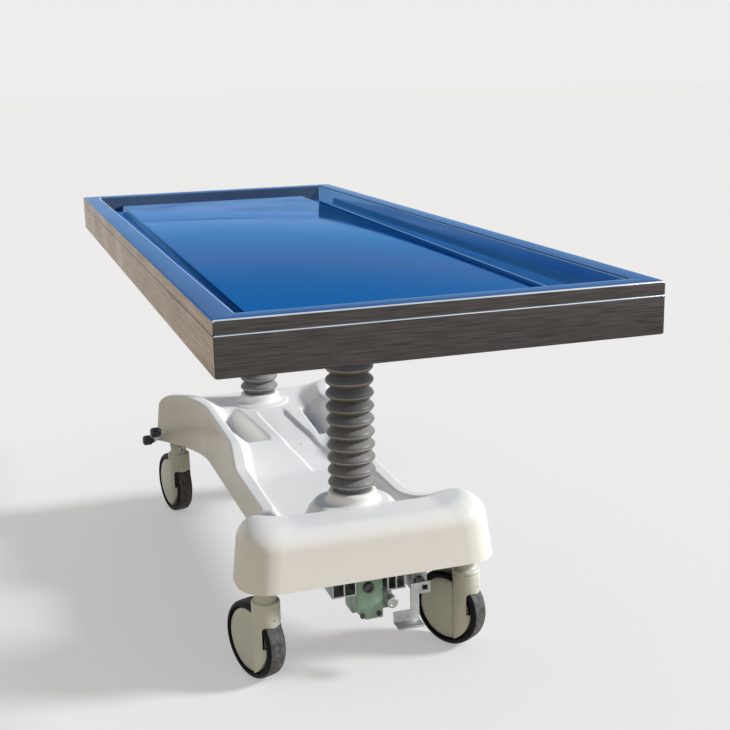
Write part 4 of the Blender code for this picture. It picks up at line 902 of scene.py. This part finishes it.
def buildCover():
    clearSelection()
    bpy.ops.mesh.primitive_grid_add(x_subdivisions=cover["across"], y_subdivisions=cover["along"], size=2)
    shell = nameActive("baseCover")
    bm = bmesh.new()
    bm.from_mesh(shell.data)
    acrossLayer = bm.verts.layers.float.new("across")
    alongLayer = bm.verts.layers.float.new("along")
    for vert in bm.verts:
        vert[acrossLayer] = vert.co.x
        vert[alongLayer] = coverEnd * (0.6 * vert.co.y + 0.4 * math.sin(math.pi / 2 * vert.co.y))
    current = list(bm.verts)
    edges = [edge for edge in bm.edges if edge.is_boundary]
    for index, (turn, drop, fall) in enumerate(coverRings()):
        if index:
            made = bmesh.ops.extrude_edge_only(bm, edges=edges)["geom"]
            current = [item for item in made if isinstance(item, bmesh.types.BMVert)]
            edges = [item for item in made if isinstance(item, bmesh.types.BMEdge) and item.is_boundary]
        for vert in current:
            across, along = vert[acrossLayer], vert[alongLayer]
            atEnd = abs(along) > coverEnd - 0.00001
            radius = cover["endRound"] if atEnd else throughStations(sideRound, along)
            height = coverHeight(*coverPlan(across, along, 1.0, 0.0)) - radius * drop
            vert.co = (*coverPlan(across, along, turn, fall), coverLow.z + height * (1 - fall))
    bmesh.ops.recalc_face_normals(bm, faces=bm.faces)
    bm.to_mesh(shell.data)
    bm.free()
    faceUp(shell)
    giveWall(shell, cover["wall"])
    for column in (-columnY, columnY):
        spot = (0, column, coverLow.z + cover["dome"])
        combine(shell, addRound("columnCut", cover["columnHole"], cover["cutDepth"], spot))
    spot = (*cover["dot"], coverLow.z + coverHeight(*cover["dot"]))
    combine(shell, addRound("dotCut", cover["dotRadius"], cover["cutDepth"], spot, sides=24))
    smoothShade(shell, 50)
    settle(shell, "base", ("creamGloss",), "base_cover")


buildCover()
print("cover made")


# Casters: one fork and one wheel, copied to the four stems

caster = {"trail": 0.041, "axleHeight": 0.080, "discRadius": 0.0645, "discFace": 0.0216, "rimBand": 0.010,
          "rimFall": 0.0030, "wellRadius": 0.083, "wellHalf": 0.0160, "bulgeHalf": 0.0226, "housing": 0.0285,
          "neck": 0.022, "groove": 0.0012, "line": 0.0008, "housingTop": 0.176, "neckTop": 0.201, "slotRise": 0.042,
          "shoulder": 0.005, "socket": 0.0143, "socketLow": 0.1677, "axle": 0.006, "axleHole": 0.0063,
          "axleHalf": 0.0204, "chamfer": 0.0008, "round": 0.0010, "dotHeight": 0.140, "dot": 0.0021, "seam": 0.0003,
          "mouthBack": -0.0135, "bossHeight": 0.190, "bossSunk": 0.0014}
wheel = {"radius": 0.080, "half": 0.0150, "bulge": 0.0213, "band": 0.023, "web": 0.008, "hubFace": 0.0145,
         "tread": 0.0015, "shoulder": 0.0096, "shoulderRound": 0.0093, "rimGap": 0.0003}
corners = ("near_left", "near_right", "far_left", "far_right")


def forkProfile():
    low = caster["axleHeight"] - caster["discRadius"]
    neck, neckTop = caster["neck"], caster["neckTop"]
    side, top, shoulder = caster["housing"], caster["housingTop"], caster["shoulder"]
    slim, inset = neck - caster["groove"], side - caster["line"]
    points = [(0, neckTop), (neck - 0.001, neckTop), (neck, neckTop - 0.001), (neck, neckTop - 0.006),
              (slim, neckTop - 0.0072), (slim, top + 0.004), (neck, top + 0.0028), (neck, top)]
    points += roundedCorner((side - shoulder, top - shoulder), shoulder, 90, 0)
    return points + [(side, top - 0.009), (inset, top - 0.0096), (inset, top - 0.0108), (side, top - 0.0114),
                     (side, low), (0, low)]


def buildFork():
    fork = spinProfile("forkPattern", forkProfile(), 72)
    axle = (0, caster["trail"], caster["axleHeight"])
    sideways = (0, math.pi / 2, 0)
    reach = 2 * caster["housing"]
    # housing, rounded below to the discs' outline
    outline = addRound("forkOutline", caster["discRadius"], 2 * reach, axle, sideways, 120)
    envelope = addBlock("forkEnvelope", (-reach, -reach, caster["axleHeight"] + 0.005), (reach, reach, 0.3))
    combine(envelope, outline, "UNION")
    combine(fork, envelope, "INTERSECT")
    # the two discs
    edge, face = caster["discRadius"], caster["discFace"]
    profile = [(0, face), (edge - caster["rimBand"], face), (edge - 0.0015, face - caster["rimFall"]),
               (edge, face - caster["rimFall"] - 0.0012)]
    discs = spinProfile("forkDiscs", bothSides(profile), 120)
    moveInPlace(discs, placed(axle, "Y"))
    combine(discs, addBlock("forkAhead", (-reach, -0.2, 0), (reach, 0, 0.3)))
    combine(fork, discs, "UNION")
    # room for the wheel, the mouth in front of it, and the small holes
    bulge = caster["bulgeHalf"]
    hollow = [(0, caster["wellHalf"]), (edge + 0.0030, caster["wellHalf"]), (edge + 0.0032, bulge),
              (0.0745, bulge - 0.0008), (0.0785, bulge - 0.0040), (0.0815, 0.0135), (0.0828, 0.0080),
              (caster["wellRadius"], 0.004)]
    well = spinProfile("forkWell", bothSides(hollow), 120)
    moveInPlace(well, placed(axle, "Y"))
    combine(fork, well)
    mouth = addBlock("forkMouth", (-bulge, -reach, caster["axleHeight"] + 0.0013),
                     (bulge, caster["mouthBack"], caster["axleHeight"] + caster["slotRise"]))
    combine(fork, mouth)
    combine(fork, addRound("forkAxleCut", caster["axleHole"], 2 * caster["axleHalf"] + 0.0004, axle, sideways, 32))
    dotSpot = (0, -caster["housing"], caster["dotHeight"])
    combine(fork, addRound("forkDotCut", caster["dot"], 0.010, dotSpot, (math.pi / 2, 0, 0), 24))
    combine(fork, addBlock("forkSeamCut", (-caster["seam"], -0.04, caster["dotHeight"] + 0.004),
                           (caster["seam"], 0.0006 - caster["housing"], caster["housingTop"] - 0.012)))
    combine(fork, addRound("forkSocketCut", caster["socket"], 0.2, (0, 0, caster["socketLow"] + 0.1), sides=48))
    startEdit(fork, "VERT")
    pickAll()
    bpy.ops.mesh.remove_doubles(threshold=0.00002)
    bpy.ops.mesh.dissolve_limited(angle_limit=math.radians(0.5))
    stopEdit()
    roundEdges(fork, caster["round"], 2, 40)
    smoothShade(fork, 38)
    return fork


def buildTyre():
    seat = wheel["radius"] - wheel["band"]
    half, bulge, crown = wheel["half"], wheel["bulge"], wheel["radius"]
    shoulder, bend = crown - wheel["shoulder"], wheel["shoulderRound"]
    flank = [(seat, half - 0.001), (seat + 0.001, half), (crown - 0.0128, half), (crown - 0.0112, bulge - 0.0008),
             (shoulder, bulge)]
    flank += roundedCorner((shoulder, bulge - bend), bend, 84, 14, 7)
    flank += [(crown - 0.0001, bulge * 0.42), (crown, bulge * 0.2)]
    return spinProfile("tyrePattern", bothSides(flank) + [flank[0]], 96)


def buildHub():
    rim = wheel["radius"] - wheel["band"] - wheel["rimGap"]
    face, web, bore = wheel["hubFace"], wheel["web"], caster["axleHole"]
    half = [(bore, face), (bore + 0.0085, face), (bore + 0.0095, face - 0.001), (bore + 0.011, web + 0.002),
            (bore + 0.014, web), (rim - 0.011, web), (rim - 0.008, web + 0.002), (rim - 0.007, face - 0.001),
            (rim - 0.006, face), (rim - 0.0005, face), (rim, face - 0.0005)]
    return spinProfile("hubPattern", bothSides(half) + [half[0]], 96)


def buildAxle():
    reach, thick, chamfer = caster["axleHalf"], caster["axle"], caster["chamfer"]
    half = [(0, reach), (thick - chamfer, reach), (thick, reach - chamfer)]
    return spinProfile("axlePattern", bothSides(half), 40)


# Faces of the fork that look on to the wheel, painted near-black as painted shade
def shadedForkFaces(face):
    outward = Vector((0, face.center.y - caster["trail"], face.center.z - caster["axleHeight"]))
    within = abs(face.center.x) < caster["bulgeHalf"] + 0.0004 and outward.length < caster["wellRadius"] + 0.001
    raised = face.center.z > caster["axleHeight"]
    behind = raised and face.normal.y < -0.5 and face.center.y > caster["mouthBack"] - 0.0015
    inward = face.normal.x * face.center.x < -0.0001 or face.normal.dot(outward.normalized()) < -0.2
    return within and (inward or behind)


def buildNeckBoss():
    points = [(0, 0.002), (0.0030, 0.002), (0.0036, 0.0062), (0.0062, 0.0068), (0.0072, 0.0060), (0.0074, 0), (0, 0)]
    return spinProfile("bossPattern", points, 40)


def buildCasters():
    fork, tyre, hub, axle, boss = buildFork(), buildTyre(), buildHub(), buildAxle(), buildNeckBoss()
    for shape in (tyre, hub, axle, boss):
        smoothShade(shape, 40)
    paintFaces(fork, 1, shadedForkFaces)
    paintFaces(tyre, 1, lambda face: face.center.xy.length > wheel["radius"] - wheel["tread"])
    for corner in corners:
        stem = Vector(jointNamed["swivel_" + corner]["pos_m"])
        rollAxis = Vector(jointNamed["roll_" + corner]["axis"])
        heading = Matrix.Rotation(math.atan2(rollAxis.y, rollAxis.x), 4, "Z")
        atStem = placed((stem.x, stem.y, 0)) @ heading
        atAxle = atStem @ placed((0, caster["trail"], caster["axleHeight"]), "Y")
        forkBody, wheelBody = "fork_" + corner, "wheel_" + corner
        for shape, kind, place, body, finishNames in (
                (fork, "fork", atStem, forkBody, ("beigeSatin", "forkShade")),
                (axle, "axle", atAxle, bodyOf["caster_axle_" + corner], ("brightSteel",)),
                (tyre, "tyre", atAxle, wheelBody, ("tyreRubber", "tyreTread")),
                (hub, "hub", atAxle, wheelBody, ("beigeSatin",))):
            piece = moveInPlace(copyPiece(shape, kind + labelFor(corner)), place)
            settle(piece, body, finishNames, "caster_" + kind + "_" + corner)
        if corner.startswith("far"):
            spot = atStem @ placed((0, caster["bossSunk"] - caster["neck"], caster["bossHeight"]), "X")
            piece = moveInPlace(copyPiece(boss, "neckBoss" + labelFor(corner)), spot)
            settle(piece, forkBody, ("zincPlate",))
    for shape in (fork, tyre, hub, axle, boss):
        bpy.data.objects.remove(shape, do_unlink=True)


buildCasters()
print("casters made")


# Foot brake: rubber rolls with metal ends on the rocker

roll = {"bore": 0.0053, "edge": 0.0100, "edgeShare": 0.55}


def buildBrakeRoll(node, name):
    low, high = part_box(node)
    length = high.x - low.x
    radius = (high.z - low.z) / 2
    bore, edge = roll["bore"], min(roll["edge"], radius * roll["edgeShare"])
    points = [(bore, 0), (radius - edge, 0)]
    points += roundedCorner((radius - edge, edge), edge, -90, 0, 8)[1:]
    points += roundedCorner((radius - edge, length - edge), edge, 0, 90, 8)
    points += [(bore, length), points[0]]
    spot = placed((low.x, (low.y + high.y) / 2, (low.z + high.z) / 2), "Y")
    settle(spinInPlace(name, points, spot), "foot_brake", ("blackRubber",), node)
    discPoints = [(0, -0.0016), (0.0058, -0.0016), (0.0068, -0.0010), (0.0070, -0.0003), (0, -0.0003)]
    settle(spinInPlace(name + "End", discPoints, spot, 36), "foot_brake", ("brightSteel",))


buildBrakeRoll("brake_pad_upper", "brakeRollUpper")
buildBrakeRoll("brake_pad_lower", "brakeRollLower")
print("brake made")


# Pump fittings: plunger, its spring, cap screws and plug

spring = {"turns": 6, "wire": 0.0011, "turnSteps": 30, "sides": 14}


def buildSpring():
    low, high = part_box("plunger_spring")
    wire, steps = spring["wire"], spring["turnSteps"]
    radius = (high.x - low.x) / 2 - wire
    pitch = (high.y - low.y - 2 * wire) / spring["turns"]
    clearSelection()
    bpy.ops.mesh.primitive_circle_add(vertices=spring["sides"], radius=wire, fill_type="NGON", location=(radius, 0, 0),
                                      rotation=(math.pi / 2, 0, 0))
    coil = applyPlace(nameActive("plungerSpring"))
    startEdit(coil, "FACE")
    pickAll()
    for step in range(spring["turns"] * steps):
        bpy.ops.mesh.extrude_region_move(TRANSFORM_OT_translate={"value": (0, 0, pitch / steps)})
        bpy.ops.transform.rotate(value=-2 * math.pi / steps, orient_axis="Z", center_override=(0, 0, 0))
    pickAll()
    bpy.ops.mesh.normals_make_consistent(inside=False)
    stopEdit()
    smoothShade(coil, 60)
    moveInPlace(coil, placed(((low.x + high.x) / 2, low.y + wire, (low.z + high.z) / 2), "X", -1))
    settle(coil, None, ("brightSteel",), "plunger_spring")
    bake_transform(coil)


plunger = {"stem": 0.0065, "cap": 0.020, "round": 0.0025, "groove": 0.0008, "chamfer": 0.001}


def buildPlunger():
    low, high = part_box("release_plunger")
    radius = (high.x - low.x) / 2
    length = high.y - low.y
    stem, cap, bend, chamfer = (plunger[key] for key in ("stem", "cap", "round", "chamfer"))
    slim = radius - plunger["groove"]
    points = [(0, 0.0006), (0.0055, 0.0006), (0.0062, 0)]
    points += roundedCorner((radius - bend, bend), bend, -90, 0)
    points += [(radius, cap * 0.45), (slim, cap * 0.5), (slim, cap * 0.58), (radius, cap * 0.63),
               (radius, cap - chamfer), (radius - chamfer, cap), (stem, cap), (stem, length - chamfer),
               (stem - chamfer, length), (0, length)]
    spot = placed(((low.x + high.x) / 2, low.y, (low.z + high.z) / 2), "X", -1)
    piece = spinInPlace("releasePlunger", points, spot)
    settle(piece, "release_valve", ("zincPlate",), "release_plunger")


pumpScrew = {"radius": 0.0052, "height": 0.0045, "key": 0.5, "keyRise": 0.95, "round": 0.12, "sides": 36}
fillerPlug = {"left": 0.004, "below": 0.022}


def buildSocketScrew(name):
    radius, height = pumpScrew["radius"], pumpScrew["height"]
    screw = addRound(name, radius, height, (0, 0, height / 2), sides=pumpScrew["sides"])
    keyMiddle = (0, 0, height * pumpScrew["keyRise"])
    combine(screw, addRound("screwKey", radius * pumpScrew["key"], height, keyMiddle, sides=6))
    roundEdges(screw, radius * pumpScrew["round"], 2, 40)
    smoothShade(screw, 35)
    return screw


def buildPumpScrews():
    bodyLow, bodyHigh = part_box("pump_body")
    capLow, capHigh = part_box("pump_cap")
    screw = buildSocketScrew("pumpScrew")
    spots = [(capLow.x + 0.009, capLow.y, capLow.z + 0.010), (capHigh.x - 0.009, capLow.y, capLow.z + 0.010),
             (bodyHigh.x - 0.008, bodyLow.y, bodyLow.z + 0.009), (bodyHigh.x - 0.008, bodyLow.y, bodyHigh.z - 0.012)]
    for index, spot in enumerate(spots):
        piece = moveInPlace(copyPiece(screw, "pumpScrew" + str(index + 1)), placed(spot, "X"))
        settle(piece, "base", ("darkFastenerAndGrooveShade",))
    bpy.data.objects.remove(screw, do_unlink=True)
    plugPoints = [(0, 0.004), (0.0055, 0.004), (0.0065, 0.0075), (0.0095, 0.0075), (0.0105, 0.0065), (0.0105, 0.0012),
                  (0.0115, 0.0006), (0.0115, 0), (0, 0)]
    middle = ((capLow.x + capHigh.x) / 2 - fillerPlug["left"], capLow.y, capHigh.z - fillerPlug["below"])
    settle(spinInPlace("fillerPlug", plugPoints, placed(middle, "X"), 40), "base", ("darkFastenerAndGrooveShade",))


buildSpring()
buildPlunger()
buildPumpScrews()
print("pump fittings made")


# Solid pieces whose shape stays, with their edges broken and smoothed

softened = {
    "pump_body": ("greenCasting", 0.0016), "pump_cap": ("greenCasting", 0.0014),
    "pump_rail_left": ("zincPlate", 0.0005), "pump_rail_right": ("zincPlate", 0.0005),
    "pedal_bracket": ("zincPlate", 0.0008), "pedal_shaft": ("zincPlate", 0.0006),
    "pump_pedal": ("zincPlate", 0.0008), "hydraulic_line": ("brightSteel", 0.0002),
    "brake_pedal": ("zincPlate", 0.0006), "brake_shaft": ("zincPlate", 0.0005),
    "end_beam_near": ("chassisPaint", 0.0010), "end_beam_far": ("chassisPaint", 0.0010),
    "chassis_rail_left": ("chassisPaint", 0.0010), "chassis_rail_right": ("chassisPaint", 0.0010),
    "column_base_near": ("chassisPaint", 0.0008), "column_base_far": ("chassisPaint", 0.0008),
    "cylinder_near": ("zincPlate", 0.0006), "cylinder_far": ("zincPlate", 0.0006),
    "ram_near": ("brightSteel", 0.0006), "ram_far": ("brightSteel", 0.0006),
    # cross beams take the tan brushed steel with its painted reflection
    "cross_beam_near": ("sideSkirt", 0.0008), "cross_beam_far": ("sideSkirt", 0.0008),
    "column_head_near": ("zincPlate", 0.0008), "column_head_far": ("zincPlate", 0.0008),
}
softNames = {"brake_pedal": "brakeRocker"}
for corner in corners:
    softened["caster_stem_" + corner] = ("zincPlate", 0.0005)
    softNames["caster_stem_" + corner] = "stem" + labelFor(corner)
for node, (finish, width) in softened.items():
    label = labelFor(node)
    name = softNames.get(node, label[0].lower() + label[1:])
    settle(softCopy(node, name, width), bodyOf[node], (finish,), node)
print("solid pieces softened:", len(softened))


# Hexagon bolts under the column heads

headBolt = {"offset": 0.058, "flats": 0.013, "height": 0.005, "round": 0.0006, "washer": 0.009,
            "washerThick": 0.0012, "washerRound": 0.0003}


def buildHeadBolts():
    across = headBolt["flats"] / math.sqrt(3)
    height, thick = headBolt["height"], headBolt["washerThick"]
    for end in ("near", "far"):
        low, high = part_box("column_head_" + end)
        middleY = (low.y + high.y) / 2
        items = []
        for sideX in (-1, 1):
            for sideY in (-1, 1):
                x, y = sideX * headBolt["offset"], middleY + sideY * headBolt["offset"]
                bolt = addRound("headBolt", across, height, (x, y, low.z - height / 2 - thick), sides=6)
                roundEdges(bolt, headBolt["round"], 2, 40)
                washer = addRound("boltWasher", headBolt["washer"], thick, (x, y, low.z - thick / 2), sides=36)
                roundEdges(washer, headBolt["washerRound"], 1, 40)
                items += [bolt, washer]
        bolts = joinPieces("headBolts" + end.capitalize(), items)
        smoothShade(bolts, 35)
        settle(bolts, "table_top", ("zincPlate",))


buildHeadBolts()
print("fasteners made")


# Camera at the photograph's place

view = {"place": (-0.6766, -2.6013, 1.1732), "yaw": 17.934, "pitch": 13.959, "roll": -1.425, "focalPixels": 1195.1,
        "imageWidth": 730, "sensor": 36.0, "farthest": 200}


def buildCamera():
    yaw, pitch, tilt = (math.radians(view[key]) for key in ("yaw", "pitch", "roll"))
    flat = Vector((math.sin(yaw), math.cos(yaw), 0))
    level = Vector((math.cos(yaw), -math.sin(yaw), 0))
    plumb = Vector((0, 0, 1))
    forward = math.cos(pitch) * flat - math.sin(pitch) * plumb
    rise = math.sin(pitch) * flat + math.cos(pitch) * plumb
    right = math.cos(tilt) * level + math.sin(tilt) * rise
    up = -math.sin(tilt) * level + math.cos(tilt) * rise
    data = bpy.data.cameras.new("photoView")
    data.sensor_width = view["sensor"]
    data.lens = view["focalPixels"] / view["imageWidth"] * view["sensor"]
    data.clip_end = view["farthest"]
    camera = bpy.data.objects.new("photoView", data)
    bpy.context.scene.collection.objects.link(camera)
    turn = Matrix((right, up, -forward)).transposed().to_4x4()
    camera.matrix_world = Matrix.Translation(view["place"]) @ turn
    bpy.context.scene.camera = camera


# Pale floor that throws little light back, even sky and a soft lamp low from the right

light = {"backdrop": 0.847, "floor": 0.49, "glow": 0.345, "ground": (0.43, 0.345, 0.225), "sky": 0.46,
         "skyColour": (1.0, 0.955, 0.875), "floorRadius": 60, "floorDrop": 0.0005}
softLamp = {"strength": 3.5, "spread": 12, "from": (1.6, -0.48, 0.98), "colour": (0.985, 1.0, 1.04)}


def grey(level):
    return (level, level, level, 1)


# One for the rays that show the backdrop and the pale floor, nought for those that only carry light
def shownRays(tree):
    path = addNode(tree, "ShaderNodeLightPath").outputs
    seen = compute(tree, "MAXIMUM", path["Is Camera Ray"], path["Is Glossy Ray"])
    return compute(tree, "MAXIMUM", seen, path["Is Transmission Ray"])


def buildSky():
    world = bpy.data.worlds.new("evenSky")
    bpy.context.scene.world = world
    world.use_nodes = True
    tree = world.node_tree
    tree.nodes.clear()
    sky = addNode(tree, "ShaderNodeBackground", {"Color": opaque(light["skyColour"]), "Strength": light["sky"]})
    backdrop = addNode(tree, "ShaderNodeBackground", {"Color": grey(light["backdrop"])})
    mix = addNode(tree, "ShaderNodeMixShader", {
        "Fac": shownRays(tree), 1: sky.outputs["Background"], 2: backdrop.outputs["Background"]})
    addNode(tree, "ShaderNodeOutputWorld", {"Surface": mix.outputs["Shader"]})


def buildLamp():
    sun = bpy.data.lights.new("softLamp", "SUN")
    sun.energy = softLamp["strength"]
    sun.angle = math.radians(softLamp["spread"])
    sun.color = softLamp["colour"]
    lamp = bpy.data.objects.new("softLamp", sun)
    bpy.context.scene.collection.objects.link(lamp)
    lamp.rotation_euler = Vector(softLamp["from"]).to_track_quat("Z", "Y").to_euler()


def buildFloor():
    clearSelection()
    bpy.ops.mesh.primitive_circle_add(vertices=96, radius=light["floorRadius"], fill_type="NGON",
                                      location=(0, 0, -light["floorDrop"]))
    floor = applyPlace(nameActive("paleFloor"))
    material = bpy.data.materials.new("paleFloor")
    material.use_nodes = True
    tree = material.node_tree
    shown = shownRays(tree)
    feedNode(tree, tree.nodes["Principled BSDF"], {
        "Base Color": mixColours(tree, shown, opaque(light["ground"]), grey(light["floor"])),
        "Emission Color": grey(1), "Emission Strength": compute(tree, "MULTIPLY", shown, light["glow"]),
        "Roughness": 1.0, "Specular IOR Level": 0.0})
    floor.data.materials.append(material)


buildCamera()
buildSky()
buildLamp()
buildFloor()
print("camera, light and floor made")
bpy.context.scene.view_settings.view_transform = "Standard"
